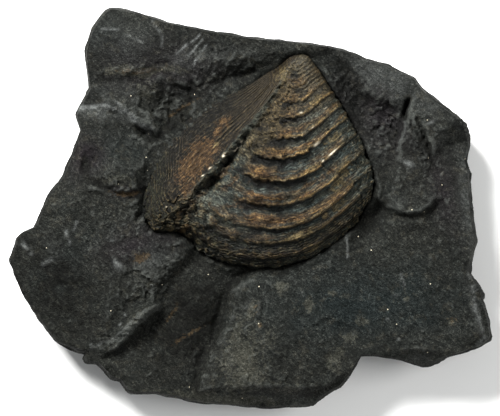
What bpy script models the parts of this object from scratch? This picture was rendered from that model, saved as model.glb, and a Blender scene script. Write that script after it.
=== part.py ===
"""Fossil bivalve: one ribbed valve of a trigoniid shell, standing proud of a loose slab of shale.

Frame: +Z up, origin on the flat underside below the middle of the slab's box, +X along the slab's length.
Lengths below are in millimetres, and add_object() turns them to metres.
"""
import math

import bmesh
import bpy
import numpy as np
from mathutils import Vector, noise

MM = 0.001

# ---- driving dimensions of the slab --------------------------------------------------------------------
# Outline seen from above, clockwise from the top-left corner.
SLAB_OUTLINE = (
    (-32.5, 46.4), (-26.3, 45.3), (-19.4, 43.0), (-10.2, 41.1), (-0.3, 39.5), (10.8, 38.4), (18.1, 37.5),
    (23.7, 35.8), (26.4, 34.5), (31.7, 33.1), (37.9, 30.1), (39.8, 27.6), (44.1, 23.9), (47.3, 21.6),
    (49.6, 19.3), (50.6, 15.8), (49.9, 10.8), (50.8, 8.2), (50.8, 2.0), (51.7, -4.9), (52.2, -7.6),
    (51.0, -11.8), (50.8, -15.2), (54.2, -20.3), (53.6, -21.2), (55.2, -25.8), (55.85, -30.3),
    (53.3, -32.2), (49.0, -33.6), (45.3, -34.5), (40.9, -36.6), (39.3, -36.6), (34.5, -35.2), (29.2, -34.3),
    (25.5, -34.3),
    (22.5, -39.4), (20.9, -41.4), (16.3, -43.9), (14.5, -45.6), (5.3, -46.3), (2.0, -46.4), (-3.5, -45.6),
    (-13.8, -44.7), (-22.1, -43.0), (-28.3, -43.0), (-30.4, -40.1), (-32.5, -39.4), (-35.7, -36.1),
    (-38.0, -35.8), (-38.9, -35.0), (-38.3, -33.6), (-41.2, -32.7), (-45.3, -30.6), (-49.3, -25.3),
    (-52.2, -21.0), (-55.0, -14.8), (-55.85, -12.0), (-54.5, -7.2), (-52.9, -5.6), (-50.2, -4.4),
    (-47.4, 2.3), (-43.7, 7.3), (-40.3, 15.6), (-39.6, 17.9), (-40.7, 21.8), (-38.7, 25.5), (-37.5, 27.8),
    (-38.3, 34.0), (-38.3, 36.5), (-36.8, 41.6), (-33.8, 45.5))
# The beds that the sides break into: height, and how far the outline is drawn in there.
SLAB_BEDS = (
    (0.0, 0.915), (1.0, 0.952), (3.3, 0.966), (3.9, 0.982), (7.0, 0.992), (7.8, 1.0), (8.4, 1.0),
    (11.6, 0.992), (12.2, 0.984), (15.5, 0.978), (30.0, 0.950))
BED_RAGGEDNESS = 0.018      # how unevenly the beds are drawn in, as a share of the outline
RAGGED_LENGTH, RAGGED_DEPTH = 9.0, 2.5        # size of that unevenness along a bed and from bed to bed
FULLY_RAGGED = 0.01         # how far a bed must be drawn in to be fully uneven
TOP_LEVEL = 15.6            # mean height of the slab's upper face
TOP_SLOPE = (-0.006, 0.022)                   # its rise per millimetre along X and along Y
LOWEST_TOP = 9.6            # the upper face never falls below this
TOP_SPACING = 1.25          # spacing of the upper face's grid before it is thinned
TOP_KEPT = 0.30             # share of the grid's triangles that thinning leaves
BLOCK_HALF_SIZE, BLOCK_BASE = (58.0, 49.0), -4.0    # the block that the slab's outline cuts

# Broken faces that cut the upper face down: a point on each and its height, which way it falls in degrees
# from +X, how steeply, and half its length across the fall.
FACETS = (
    ((-33.0, -14.0), 15.6, 196, 0.28, 17.0),     # long smooth slope down to the left tip
    ((-36.0, 9.5), 15.2, 158, 0.40, 12.0),       # upper-left flank
    ((31.0, 26.0), 17.0, 58, 0.30, 13.0),        # pale face at the top right
    ((42.5, -2.0), 16.0, 26, 0.32, 13.0),        # broad strip along the right edge
    ((49.2, -1.5), 14.6, 12, 1.10, 12.0),        # rim of that strip
    ((50.8, -22.5), 14.6, 15, 1.20, 8.5),        # strip above the lower right corner
    ((-11.8, -42.8), 13.4, 272, 0.95, 28.0),     # bevel along the lower edge
    ((39.0, -33.6), 13.8, 270, 1.10, 11.0),      # bevel under the right-hand plane
    ((-35.4, 35.0), 18.8, 180, 1.30, 8.5),       # left side of the top-left plate
    ((-33.5, -37.5), 12.4, 225, 0.70, 6.0),      # lower left corner
)
FACET_END_RISE = 1.4        # how steeply a broken face climbs back out past its ends
LUMP_FALL = 2.2             # how steeply lumps and ridges die away; at their half width a ninth is left
LINE_END_FADE = 3.0         # how far past its ends a scarp dies away
# Lumps and hollows: centre, half length, half width, turn of the long axis in degrees, height.
LUMPS = (
    ((-27.0, 39.0), 13.0, 9.0, -10.0, 1.9),   # top-left plate
    ((-12.2, 25.0), 2.6, 1.4, 80.0, 1.9),     # knob beside the pits
    ((-29.6, 8.6), 6.0, 4.6, 0.0, 1.9),       # boss on the upper left
    ((-38.0, 10.6), 5.6, 3.6, 62.0, -1.9),    # scoop on its left
    ((-19.6, 23.6), 7.5, 4.0, -20.0, -3.4),   # pits beside the shell's upper edge
    ((-17.0, 26.0), 3.0, 2.4, 60.0, -1.6),
    ((-25.0, 16.9), 3.2, 2.0, -30.0, -2.2),
    ((-3.8, 28.6), 13.0, 4.4, 24.0, -3.2),    # hollow above the shell
    ((24.0, 24.0), 13.0, 4.6, -62.0, -3.6),   # hollow in front of the shell
    ((31.2, 18.4), 6.5, 4.0, -75.0, -1.8),    # spalled pit
    ((28.4, -3.0), 9.0, 4.0, 62.0, -2.4),     # hollow under the shell's front edge
    ((2.0, -15.0), 16.0, 3.6, 6.0, -1.2),     # trough along the shell's lower edge
    ((-8.0, -26.0), 17.0, 5.0, 68.0, -2.0),   # broad valley running down from the shell
    ((52.2, -32.0), 4.2, 2.6, 30.0, -2.2),    # chip at the lower right corner
    ((5.0, -33.0), 13.0, 9.0, 70.0, 1.2),     # swelling below the shell
    ((0.8, -23.3), 2.8, 1.9, 60.0, 0.6),      # flake
)
# Scarps, where a bed is broken off along a line: its points, with the low side on the right of the way
# they run, the drop, half the width of the break, and how far off the drop has died away.
SCARPS = (
    (((-40.5, 22.0), (-34.1, 22.4), (-28.6, 22.0), (-25.1, 18.9), (-22.8, 16.6)), 2.6, 1.3, 12.0),
    (((-38.5, 30.0), (-33.6, 30.3), (-23.3, 31.7), (-18.7, 32.2)), 1.6, 1.4, 8.0),
    (((-11.8, 28.0), (-10.2, 29.9), (-6.7, 31.2), (-1.4, 32.6), (3.9, 34.5), (7.8, 34.9)), 2.2, 0.9, 6.0),
    (((17.0, 34.6), (20.5, 32.6), (25.0, 28.8), (27.2, 24.8), (28.7, 17.9)), 2.6, 1.0, 6.0),
    (((27.6, 25.0), (30.1, 23.6), (33.4, 23.2), (35.9, 24.5)), 1.5, 0.8, 6.0),
    (((37.1, 25.4), (34.8, 19.8), (33.6, 15.1), (32.6, 9.0), (31.0, 4.0), (30.6, 0.7)), 1.9, 0.5, 7.0),
    (((30.6, 0.7), (34.2, -1.6), (39.0, -1.7), (41.6, 0.7)), 1.5, 0.8, 14.0),
    (((-22.4, -22.6), (-21.0, -18.9), (-19.0, -15.4), (-16.4, -12.5), (-13.6, -9.7)), 2.6, 2.2, 10.0),
    (((-38.4, -35.5), (-32.9, -32.7), (-28.3, -29.9), (-24.4, -27.6), (-21.7, -25.3)), 2.8, 0.9, 10.0),
    (((0.0, -14.8), (-4.6, -18.9), (-6.6, -25.8), (-7.8, -32.7), (-10.8, -39.6), (-12.9, -43.0)),
     1.5, 1.9, 8.0),
)
# Ridges and grooves that follow a line: its points, half width, height.
WELTS = (
    (((-38.3, -34.4), (-32.9, -31.6), (-29.0, -28.1), (-24.9, -25.3), (-21.8, -23.0)), 1.9, 2.1),
    (((-36.5, -29.5), (-31.5, -26.0), (-27.5, -22.5), (-25.0, -19.5)), 2.6, -0.9),
    (((38.6, 20.5), (42.2, 9.8)), 0.9, -1.2),
    (((2.5, -18.9), (3.0, -23.5), (2.5, -25.8), (5.5, -31.5)), 0.9, -0.4),
    (((-34.5, 5.2), (-31.0, 3.4), (-25.0, 3.9)), 0.8, -0.5),
)
GRAIN = ((11.0, 0.55), (4.2, 0.26))           # size and height of the slab's uneven breaks

# ---- driving dimensions of the valve -------------------------------------------------------------------
UMBO = (11.0, 35.2)         # where the beak lies
VALVE_REACH = 48.0          # from the beak straight down to the lower margin
VALVE_INFLATION = 11.0      # height of the crown above the margin
MARGIN_LEVEL = 14.0         # height of the valve's margin above the slab's underside
VALVE_BED = 10.6            # height of the valve's flat underside, sunk in the slab
BED_GAP = 0.35              # clearance all round between valve and slab
BED_CUT_HEIGHT = 25.0       # how far the cutter for the hollow reaches up, clear of the slab
# Growth runs from 0 at the beak to 1 at the margin. Directions from the beak are in degrees from straight
# down, positive to the front (right). Each pair is a growth and a direction.
FRONT_EDGE = (
    (0.0, 104), (0.04, 88), (0.08, 66), (0.17, 51), (0.25, 45.5), (0.41, 41), (0.6, 37), (0.78, 33.4),
    (0.85, 31.7), (0.91, 28.9), (0.95, 25.3), (1.0, 20))
CARINA = (
    (0.0, -42), (0.1, -36.5), (0.21, -33), (0.3, -34), (0.44, -35.5), (0.7, -37.2), (0.8, -38.3),
    (1.0, -39.2))
HINGE_EDGE = (
    (0.0, -104), (0.04, -82), (0.08, -62), (0.12, -55.5), (0.3, -56.6), (0.5, -60.2), (0.6, -61.6),
    (0.75, -58.5), (0.88, -54.3), (1.0, -47.7))
# Reach of one growth line in each direction, as a share of its reach straight down.
GROWTH_LINE = (
    (-104, 1.0), (-50, 0.97), (-47.7, 1.005), (-45, 1.058), (-41, 1.1), (-38.7, 1.095), (-35, 1.04),
    (-32, 1.035), (-25, 1.06), (-11, 1.045), (0, 1.0), (9, 0.935), (16, 0.882), (21, 0.847), (27, 0.822),
    (34, 0.81), (45, 0.82), (104, 0.85))
CROWN_PLACE, CROWN_FULLNESS = 0.70, 0.58      # how far from the beak the crown lies, and how full it is
CARINA_AT_MARGIN = 0.10     # height that the carina keeps at the margin, as a share of the inflation
FRONT_TURN, FRONT_STEEPNESS = 2.7, 0.62       # how late and how steeply the flank turns down in front
AREA_FALL = 1.1             # how hollow the area is between carina and hinge edge
CARINA_RIDGE = (0.0, 0.8, 0.035)              # place across, height and half width of the carina's ridge,
CARINA_GROOVE = (0.04, 1.9, 0.026)            # of the groove in front of it
HIND_SAG = (0.2, 0.7, 0.13)                   # and of the sag that the ribs end in
FIRST_RIB_START = 0.08      # growth where the slope up to the first crest starts
RIB_DROP = 0.012            # growth over which a rib falls away below its crest
# Place across where the ribs start behind, for each growth, and how far a rib takes to rise from its end.
RIB_ENDS = ((0.0, 0.06), (0.2, 0.10), (0.294, 0.17), (0.39, 0.19), (0.48, 0.12), (0.6, 0.08), (1.0, 0.12))
RIB_END_LENGTH = 0.1
LUMPY_RIBS = (0.36, 0.60)   # across here the ribs turn from broad and lumpy to thin and sharp
RIB_CRESTS = (0.152, 0.225, 0.294, 0.39, 0.482, 0.59, 0.70, 0.808, 0.911, 0.965)
RIB_HEIGHTS = (0.25, 0.45, 0.6, 0.8, 0.95, 1.05, 1.15, 1.05, 0.7, 0.4)
ROW_STEPS = (0.10, 0.45, 0.80, 1.0)           # where the grid's rows lie between one rib crest and the next
BEAK_ROWS = (0.006, 0.025, 0.055, 0.08, 0.115, 0.152)
AREA_COLUMNS = (-1.0, -0.9, -0.75, -0.6, -0.45, -0.3, -0.18, -0.09, -0.035)
FLANK_COLUMNS = 25

COLOURS = {"shale": (0.038, 0.040, 0.039), "fossil_shell": (0.115, 0.079, 0.042)}


def smooth_curve(values, pairs):
    """A smooth curve through (position, value) pairs, read at the given positions."""
    at = np.array([pair[0] for pair in pairs], float)
    value = np.array([pair[1] for pair in pairs], float)
    slope = np.gradient(value, at)
    values = np.clip(values, at[0], at[-1])
    cell = np.clip(np.searchsorted(at, values) - 1, 0, len(at) - 2)
    width = at[cell + 1] - at[cell]
    t = (values - at[cell]) / width
    start = (1 + 2 * t) * (1 - t) ** 2 * value[cell] + t * (1 - t) ** 2 * width * slope[cell]
    end = t * t * (3 - 2 * t) * value[cell + 1] + t * t * (t - 1) * width * slope[cell + 1]
    return start + end


def smooth_step(low, high, values):
    """0 below low, 1 above high, and an eased rise between."""
    t = np.clip((values - low) / (high - low), 0.0, 1.0)
    return t * t * (3 - 2 * t)


def bell(values, centre, half_width):
    """1 at the centre, dying away on both sides."""
    return np.exp(-((values - centre) / half_width) ** 2)


def along_and_across(x, y, centre, turn):
    """Distances of each (x, y) from a centre, along and across a direction given in degrees from +X."""
    cos, sin = math.cos(math.radians(turn)), math.sin(math.radians(turn))
    return (x - centre[0]) * cos + (y - centre[1]) * sin, (y - centre[1]) * cos - (x - centre[0]) * sin


def distance_to_right(x, y, points):
    """Distance to an open line, positive on the right of the way it runs, and how far past its ends."""
    nearest, signed = np.full(np.shape(x), np.inf), np.zeros(np.shape(x))
    past_line = np.zeros(np.shape(x))
    for place, ((ax, ay), (bx, by)) in enumerate(zip(points, points[1:])):
        length = math.hypot(bx - ax, by - ay)
        along = ((x - ax) * (bx - ax) + (y - ay) * (by - ay)) / length
        right = ((x - ax) * (by - ay) - (y - ay) * (bx - ax)) / length
        before, past = np.maximum(0.0, -along), np.maximum(0.0, along - length)
        past_end = before * (place == 0) + past * (place == len(points) - 2)
        away = np.hypot(right, before + past)
        beside = np.hypot(right, before + past - past_end)
        signed = np.where(away < nearest, np.copysign(beside, right), signed)
        past_line = np.where(away < nearest, past_end, past_line)
        nearest = np.minimum(nearest, away)
    return signed, past_line


def noise_at(x, y, size):
    """Smooth noise between -1 and 1 whose lumps are about size millimetres across."""
    return np.array([noise.noise(Vector((px / size, py / size, size))) for px, py in zip(x, y)])


# ---- slab ----------------------------------------------------------------------------------------------
def slab_height(x, y):
    """Height of the slab's upper face above its underside."""
    height = TOP_LEVEL + TOP_SLOPE[0] * x + TOP_SLOPE[1] * y
    for centre, half_length, half_width, turn, rise in LUMPS:
        along, across = along_and_across(x, y, centre, turn)
        height += rise * np.exp(-LUMP_FALL * ((along / half_length) ** 2 + (across / half_width) ** 2))
    for points, half_width, rise in WELTS:
        right, past_line = distance_to_right(x, y, points)
        height += rise * np.exp(-LUMP_FALL * (np.hypot(right, past_line) / half_width) ** 2)
    for points, drop, half_width, reach in SCARPS:
        right, past_line = distance_to_right(x, y, points)
        fade = bell(right, 0.0, reach) * bell(past_line, 0.0, LINE_END_FADE)
        height -= drop * smooth_step(-half_width, half_width, right) * fade
    for size, rise in GRAIN:
        height += rise * noise_at(x, y, size)
    for centre, level, fall, steepness, half_length in FACETS:
        down, across = along_and_across(x, y, centre, fall)
        past_end = np.maximum(np.abs(across) - half_length, 0.0)
        height = np.minimum(height, level - steepness * down + FACET_END_RISE * past_end)
    return np.maximum(height, LOWEST_TOP)


def make_slab_top():
    """A block whose upper face is the slab's, wider and deeper than the slab, for the outline to cut."""
    half_x, half_y = BLOCK_HALF_SIZE
    mesh = bmesh.new()
    bmesh.ops.create_grid(mesh, x_segments=round(2 * half_x / TOP_SPACING),
                          y_segments=round(2 * half_y / TOP_SPACING), size=1.0)
    bmesh.ops.scale(mesh, vec=(half_x, half_y, 1.0), verts=mesh.verts)
    place = np.array([vert.co for vert in mesh.verts])
    for vert, height in zip(mesh.verts, slab_height(place[:, 0], place[:, 1])):
        vert.co.z = height
    close_downwards(mesh, BLOCK_BASE)
    return mesh


def bed_outline(level, scale):
    """The slab's outline at one bed, drawn in unevenly wherever it is drawn in at all."""
    drawn_in = min(1.0, (1.0 - scale) / FULLY_RAGGED)
    points = []
    for x, y in SLAB_OUTLINE:
        uneven = noise.noise(Vector((x / RAGGED_LENGTH, y / RAGGED_LENGTH, level / RAGGED_DEPTH)))
        share = scale - BED_RAGGEDNESS * (1.0 + uneven) * drawn_in
        points.append((x * share, y * share, level))
    return points


def make_slab_form():
    """The slab's outline, drawn up bed by bed."""
    mesh = bmesh.new()
    base = mesh.faces.new([mesh.verts.new(point) for point in bed_outline(*SLAB_BEDS[0])])
    rim = list(base.edges)
    for below, bed in zip(SLAB_BEDS, SLAB_BEDS[1:]):
        places = dict(zip(bed_outline(*below), bed_outline(*bed)))
        raised = bmesh.ops.extrude_edge_only(mesh, edges=rim)["geom"]
        rim = [part for part in raised if isinstance(part, bmesh.types.BMEdge)]
        for vert in (part for part in raised if isinstance(part, bmesh.types.BMVert)):
            vert.co = min(places.items(), key=lambda pair: (Vector(pair[0]) - vert.co).length)[1]
    bmesh.ops.holes_fill(mesh, edges=rim, sides=0)
    bmesh.ops.recalc_face_normals(mesh, faces=mesh.faces)
    return mesh


# ---- valve ---------------------------------------------------------------------------------------------
def valve_place(growth, across):
    """X and Y on the valve. across is -1 at the hinge edge, 0 at the carina and 1 at the front edge."""
    carina = smooth_curve(growth, CARINA)
    edge = np.where(across < 0, smooth_curve(growth, HINGE_EDGE), smooth_curve(growth, FRONT_EDGE))
    direction = carina + np.abs(across) * (edge - carina)
    reach = growth * VALVE_REACH * smooth_curve(direction, GROWTH_LINE)
    angle = np.radians(direction)
    return UMBO[0] + reach * np.sin(angle), UMBO[1] - reach * np.cos(angle)


def rib_relief(growth, across):
    """Height of the stepped ribs: each rises slowly to its crest and drops at once on its lower side."""
    relief = np.zeros(np.shape(growth))
    lumpy = 1.0 - smooth_step(*LUMPY_RIBS, across)
    starts = (FIRST_RIB_START,) + RIB_CRESTS[:-1]
    for start, crest, height in zip(starts, RIB_CRESTS, RIB_HEIGHTS):
        gap = crest - start
        broad = smooth_step(start + 0.28 * gap, start + 0.68 * gap, growth)
        plate = smooth_step(start + 0.1 * gap, start + 0.8 * gap, growth)
        thin = 0.4 * plate + 0.6 * smooth_step(start + 0.60 * gap, start + 0.96 * gap, growth)
        drop = 1.0 - smooth_step(crest, crest + RIB_DROP, growth)
        relief += height * (lumpy * broad + (1.0 - lumpy) * thin) * drop
    return relief


def valve_height(growth, across):
    """Height of the valve's outer face above the slab's underside."""
    crown = np.sin(math.pi * np.clip(growth, 0.0, 1.0) ** CROWN_PLACE) ** CROWN_FULLNESS
    carina_crown = crown + CARINA_AT_MARGIN * growth * (1.0 - crown)
    front, back = np.clip(across, 0.0, 1.0), np.clip(-across, 0.0, 1.0)
    flank = crown * (1.0 - front ** FRONT_TURN) ** FRONT_STEEPNESS
    area = carina_crown * (1.0 - back) ** AREA_FALL
    height = VALVE_INFLATION * np.where(across >= 0, flank, area)

    before_margin = 1.0 - smooth_step(0.86, 1.0, growth)
    place, rise, half_width = CARINA_RIDGE
    height += rise * smooth_step(0.08, 0.4, growth) * before_margin * bell(across, place, half_width)
    place, depth, half_width = CARINA_GROOVE
    height -= depth * smooth_step(0.28, 0.55, growth) * before_margin * bell(across, place, half_width)
    place, depth, half_width = HIND_SAG
    height -= depth * smooth_step(0.5, 0.75, growth) * bell(across, place, half_width)

    rib_end = smooth_curve(growth, RIB_ENDS)
    ribbed = smooth_step(rib_end, rib_end + RIB_END_LENGTH, across)
    ribbed *= 1.0 - 0.35 * smooth_step(0.9, 1.0, across)
    return MARGIN_LEVEL + np.maximum(height + rib_relief(growth, across) * ribbed, 0.0)


def valve_rows():
    """Growth of each row of the valve's grid."""
    rows = list(BEAK_ROWS)
    for start, crest in zip(RIB_CRESTS, RIB_CRESTS[1:] + (1.0,)):
        rows += [start + step * (crest - start) for step in ROW_STEPS]
    return rows


def valve_columns():
    """Place across of each column of the valve's grid, closer together beside the carina."""
    flank = [(column / FLANK_COLUMNS) ** 1.25 for column in range(FLANK_COLUMNS + 1)]
    return list(AREA_COLUMNS) + flank


def make_valve():
    """The valve's outer face, closed down to a flat underside."""
    rows, columns = valve_rows(), valve_columns()
    mesh = bmesh.new()
    bmesh.ops.create_grid(mesh, x_segments=len(columns) - 1, y_segments=len(rows) - 1, size=1.0)
    for vert in mesh.verts:
        column = round((vert.co.x + 1.0) / 2.0 * (len(columns) - 1))
        row = round((1.0 - vert.co.y) / 2.0 * (len(rows) - 1))
        growth, across = np.array(rows[row]), np.array(columns[column])
        x, y = valve_place(growth, across)
        vert.co = (float(x), float(y), float(valve_height(growth, across)))
    close_downwards(mesh, VALVE_BED)
    return mesh


def make_valve_bed():
    """Cutter for the hollow the valve sits in: the valve's outline, grown by the gap and drawn up."""
    rows, columns = valve_rows(), valve_columns()
    edge = [(growth, -1.0) for growth in rows] + [(1.0, across) for across in columns[1:]]
    edge += [(growth, 1.0) for growth in reversed(rows[:-1])]
    outline = []
    for growth, across in edge:
        x, y = valve_place(np.array(growth), np.array(across))
        outline.append(Vector((float(x), float(y))))

    mesh = bmesh.new()
    corners = []
    for before, point, after in zip(outline[-1:] + outline[:-1], outline, outline[1:] + outline[:1]):
        along = (after - before).normalized()
        outwards = Vector((along.y, -along.x))
        corners.append(mesh.verts.new((*(point + BED_GAP * outwards), VALVE_BED - BED_GAP)))
    raised = bmesh.ops.extrude_face_region(mesh, geom=[mesh.faces.new(corners)], use_keep_orig=True)
    bmesh.ops.translate(mesh, vec=(0.0, 0.0, BED_CUT_HEIGHT),
                        verts=[part for part in raised["geom"] if isinstance(part, bmesh.types.BMVert)])
    bmesh.ops.recalc_face_normals(mesh, faces=mesh.faces)
    return mesh


# ---- assembly ------------------------------------------------------------------------------------------
def close_downwards(mesh, level):
    """Close an open sheet with a wall from its rim down to a flat face at the given level."""
    rim = [edge for edge in mesh.edges if edge.is_boundary]
    wall = bmesh.ops.extrude_edge_only(mesh, edges=rim)
    for vert in (part for part in wall["geom"] if isinstance(part, bmesh.types.BMVert)):
        vert.co.z = level
    bmesh.ops.holes_fill(mesh, edges=[edge for edge in mesh.edges if edge.is_boundary], sides=0)
    bmesh.ops.recalc_face_normals(mesh, faces=mesh.faces)


def new_material(name):
    material = bpy.data.materials.new(name)
    material.use_nodes = True
    shader = material.node_tree.nodes["Principled BSDF"]
    shader.inputs["Base Color"].default_value = (*COLOURS[name], 1.0)
    shader.inputs["Roughness"].default_value = 0.7
    shader.inputs["Metallic"].default_value = 0.0
    return material


def add_object(name, mesh, collection, material=None):
    """Turn a bmesh in millimetres into an object in metres."""
    bmesh.ops.scale(mesh, vec=(MM, MM, MM), verts=mesh.verts)
    data = bpy.data.meshes.new(name)
    mesh.to_mesh(data)
    mesh.free()
    if material:
        data.materials.append(material)
    thing = bpy.data.objects.new(name, data)
    collection.objects.link(thing)
    return thing


def cut(target, cutter, operation):
    """Join a cutter to its target by an exact Boolean, and keep it out of renders."""
    modifier = target.modifiers.new(cutter.name, "BOOLEAN")
    modifier.operation = operation
    modifier.solver = "EXACT"
    modifier.object = cutter
    cutter.hide_render = True
    cutter.display_type = "WIRE"


def main():
    for thing in list(bpy.data.objects):
        bpy.data.objects.remove(thing)
    fossil = bpy.data.collections.new("fossil_bivalve")
    cutters = bpy.data.collections.new("cutters")
    for collection in (fossil, cutters):
        bpy.context.scene.collection.children.link(collection)

    matrix = add_object("matrix", make_slab_top(), fossil, new_material("shale"))
    thinning = matrix.modifiers.new("thinning", "DECIMATE")
    thinning.ratio = TOP_KEPT
    cut(matrix, add_object("slab_form", make_slab_form(), cutters), "INTERSECT")
    cut(matrix, add_object("valve_bed", make_valve_bed(), cutters), "DIFFERENCE")

    valve = add_object("valve", make_valve(), fossil, new_material("fossil_shell"))
    valve.data.shade_smooth()
    valve.data.set_sharp_from_angle(angle=math.radians(35))


main()
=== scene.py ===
"""Looks of the fossil bivalve: a ribbed, bronze-brown shell in a loose slab of dark shale.

Lengths are in millimetres and add_piece() turns them to metres, but lamps, camera and floor are in metres.
"""
import math
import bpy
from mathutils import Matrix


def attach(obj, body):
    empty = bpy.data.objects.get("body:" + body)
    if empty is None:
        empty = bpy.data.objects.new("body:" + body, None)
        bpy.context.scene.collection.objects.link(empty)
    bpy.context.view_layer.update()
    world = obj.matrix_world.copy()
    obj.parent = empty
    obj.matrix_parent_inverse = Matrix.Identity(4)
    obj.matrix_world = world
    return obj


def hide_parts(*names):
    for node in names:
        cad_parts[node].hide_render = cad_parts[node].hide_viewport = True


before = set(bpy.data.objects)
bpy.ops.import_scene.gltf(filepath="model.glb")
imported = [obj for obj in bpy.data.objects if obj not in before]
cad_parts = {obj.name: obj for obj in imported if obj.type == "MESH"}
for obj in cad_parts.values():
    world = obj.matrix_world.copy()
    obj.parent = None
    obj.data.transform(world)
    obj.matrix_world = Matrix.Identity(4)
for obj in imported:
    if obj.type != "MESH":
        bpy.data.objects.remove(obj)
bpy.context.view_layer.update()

from types import SimpleNamespace

import bmesh
import bpy
import numpy as np
from mathutils import Vector, noise

MM = 0.001

# ---- slab: large forms, close to those of the frame's slab ---------------------------------------------
SLAB_OUTLINE = (
    (-32.5, 46.4), (-26.3, 45.3), (-19.4, 43), (-10.2, 41.1), (-0.3, 39.5), (10.8, 38.4), (18.1, 37.5),
    (23.7, 35.8), (26.4, 34.5), (31.7, 33.1), (37.9, 30.1), (39.8, 27.6), (44.1, 23.9), (47.3, 21.6),
    (49.6, 19.3), (50.6, 15.8), (49.9, 10.8), (50.8, 8.2), (50.8, 2), (51.7, -4.9), (52.2, -7.6),
    (51, -11.8), (50.8, -15.2), (54.2, -20.3), (53.6, -21.2), (55.2, -25.8), (55.85, -30.3),
    (53.3, -32.2), (49, -33.6), (45.3, -34.5), (40.9, -36.6), (39.3, -36.6), (34.5, -35.2), (29.2, -34.3),
    (25.5, -34.3), (22.5, -39.4), (20.9, -41.4), (16.3, -43.9), (14.5, -45.6), (5.3, -46.3), (2, -46.4),
    (-3.5, -45.6), (-13.8, -44.7), (-22.1, -43), (-28.3, -43), (-30.4, -40.1), (-32.5, -39.4),
    (-35.7, -36.1), (-38, -35.8), (-38.9, -35), (-38.3, -33.6), (-41.2, -32.7), (-45.3, -30.6),
    (-49.3, -25.3), (-52.2, -21), (-55, -14.8), (-55.85, -12), (-54.5, -7.2), (-52.9, -5.6),
    (-50.2, -4.4), (-47.4, 2.3), (-43.7, 7.3), (-40.3, 15.6), (-39.6, 17.9), (-40.7, 21.8), (-38.7, 25.5),
    (-37.5, 27.8), (-38.3, 34), (-38.3, 36.5), (-36.8, 41.6), (-33.8, 45.5))
# The beds that the sides break into: height, and how far the outline is drawn in there.
SLAB_BEDS = (
    (0.0, 0.915), (1.0, 0.952), (3.3, 0.966), (3.9, 0.982), (7.0, 0.992), (7.8, 1.0), (8.4, 1.0),
    (11.6, 0.992), (12.2, 0.984), (15.5, 0.978), (30.0, 0.950))
TOP_LEVEL = 15.6            # mean height of the slab's upper face
TOP_SLOPE = (-0.006, 0.022)                   # its rise per millimetre along X and along Y
LOWEST_TOP = 9.6            # the upper face never falls below this

# Broken faces that cut the upper face down: a point on each and its height, which way it falls in degrees
# from +X, how steeply, and half its length across the fall.
FACETS = (
    ((-33.0, -14.0), 15.6, 196, 0.28, 17.0),     # long smooth slope down to the left tip
    ((-36.0, 9.5), 15.2, 158, 0.40, 12.0),       # upper-left flank
    ((31.0, 26.0), 17.0, 58, 0.30, 13.0),        # pale face at the top right
    ((42.5, -2.0), 16.0, 26, 0.32, 13.0),        # broad strip along the right edge
    ((49.2, -1.5), 14.6, 12, 1.10, 12.0),        # rim of that strip
    ((50.8, -22.5), 14.6, 15, 1.20, 8.5),        # strip above the lower right corner
    ((-11.8, -42.8), 13.4, 272, 0.95, 28.0),     # bevel along the lower edge
    ((39.0, -33.6), 13.8, 270, 1.10, 11.0),      # bevel under the right-hand plane
    ((-35.4, 35.0), 18.8, 180, 1.30, 8.5),       # left side of the top-left plate
    ((-33.5, -37.5), 12.4, 225, 0.70, 6.0),      # lower left corner
)
FACET_END_RISE = 0.8        # how steeply a broken face climbs back out past its ends
LUMP_FALL = 2.2             # how steeply lumps and ridges die away; at their half width a ninth is left
LINE_END_FADE = 3.0         # how far past its ends a scarp dies away
# Lumps and hollows: centre, half length, half width, turn of the long axis in degrees, height.
LUMPS = (
    ((-27.0, 39.0), 13.0, 9.0, -10.0, 1.9),   # top-left plate
    ((-12.2, 25.0), 2.6, 1.4, 80.0, 1.9),     # knob beside the pits
    ((-29.6, 8.6), 6.0, 4.6, 0.0, 1.9),       # boss on the upper left
    ((-38.0, 10.6), 5.6, 3.6, 62.0, -1.9),    # scoop on its left
    ((-19.6, 23.6), 7.5, 4.0, -20.0, -3.4),   # pits beside the shell's upper edge
    ((-17.0, 26.0), 3.0, 2.4, 60.0, -1.6),
    ((-25.0, 16.9), 3.2, 2.0, -30.0, -2.2),
    ((-3.8, 28.6), 13.0, 4.4, 24.0, -2.6),    # hollow above the shell
    ((24.0, 24.0), 13.0, 4.6, -62.0, -3.0),   # hollow in front of the shell
    ((31.2, 18.4), 6.5, 4.0, -75.0, -1.8),    # spalled pit
    ((28.4, -3.0), 9.0, 4.0, 62.0, -2.4),     # hollow under the shell's front edge
    ((2.0, -15.0), 16.0, 3.6, 6.0, -1.2),     # trough along the shell's lower edge
    ((-8.0, -26.0), 17.0, 5.0, 68.0, -2.0),   # broad valley running down from the shell
    ((52.2, -32.0), 4.2, 2.6, 30.0, -2.2),    # chip at the lower right corner
    ((5.0, -33.0), 13.0, 9.0, 70.0, 1.2),     # swelling below the shell
    ((0.8, -23.3), 2.8, 1.9, 60.0, 0.6),      # flake
)
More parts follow.
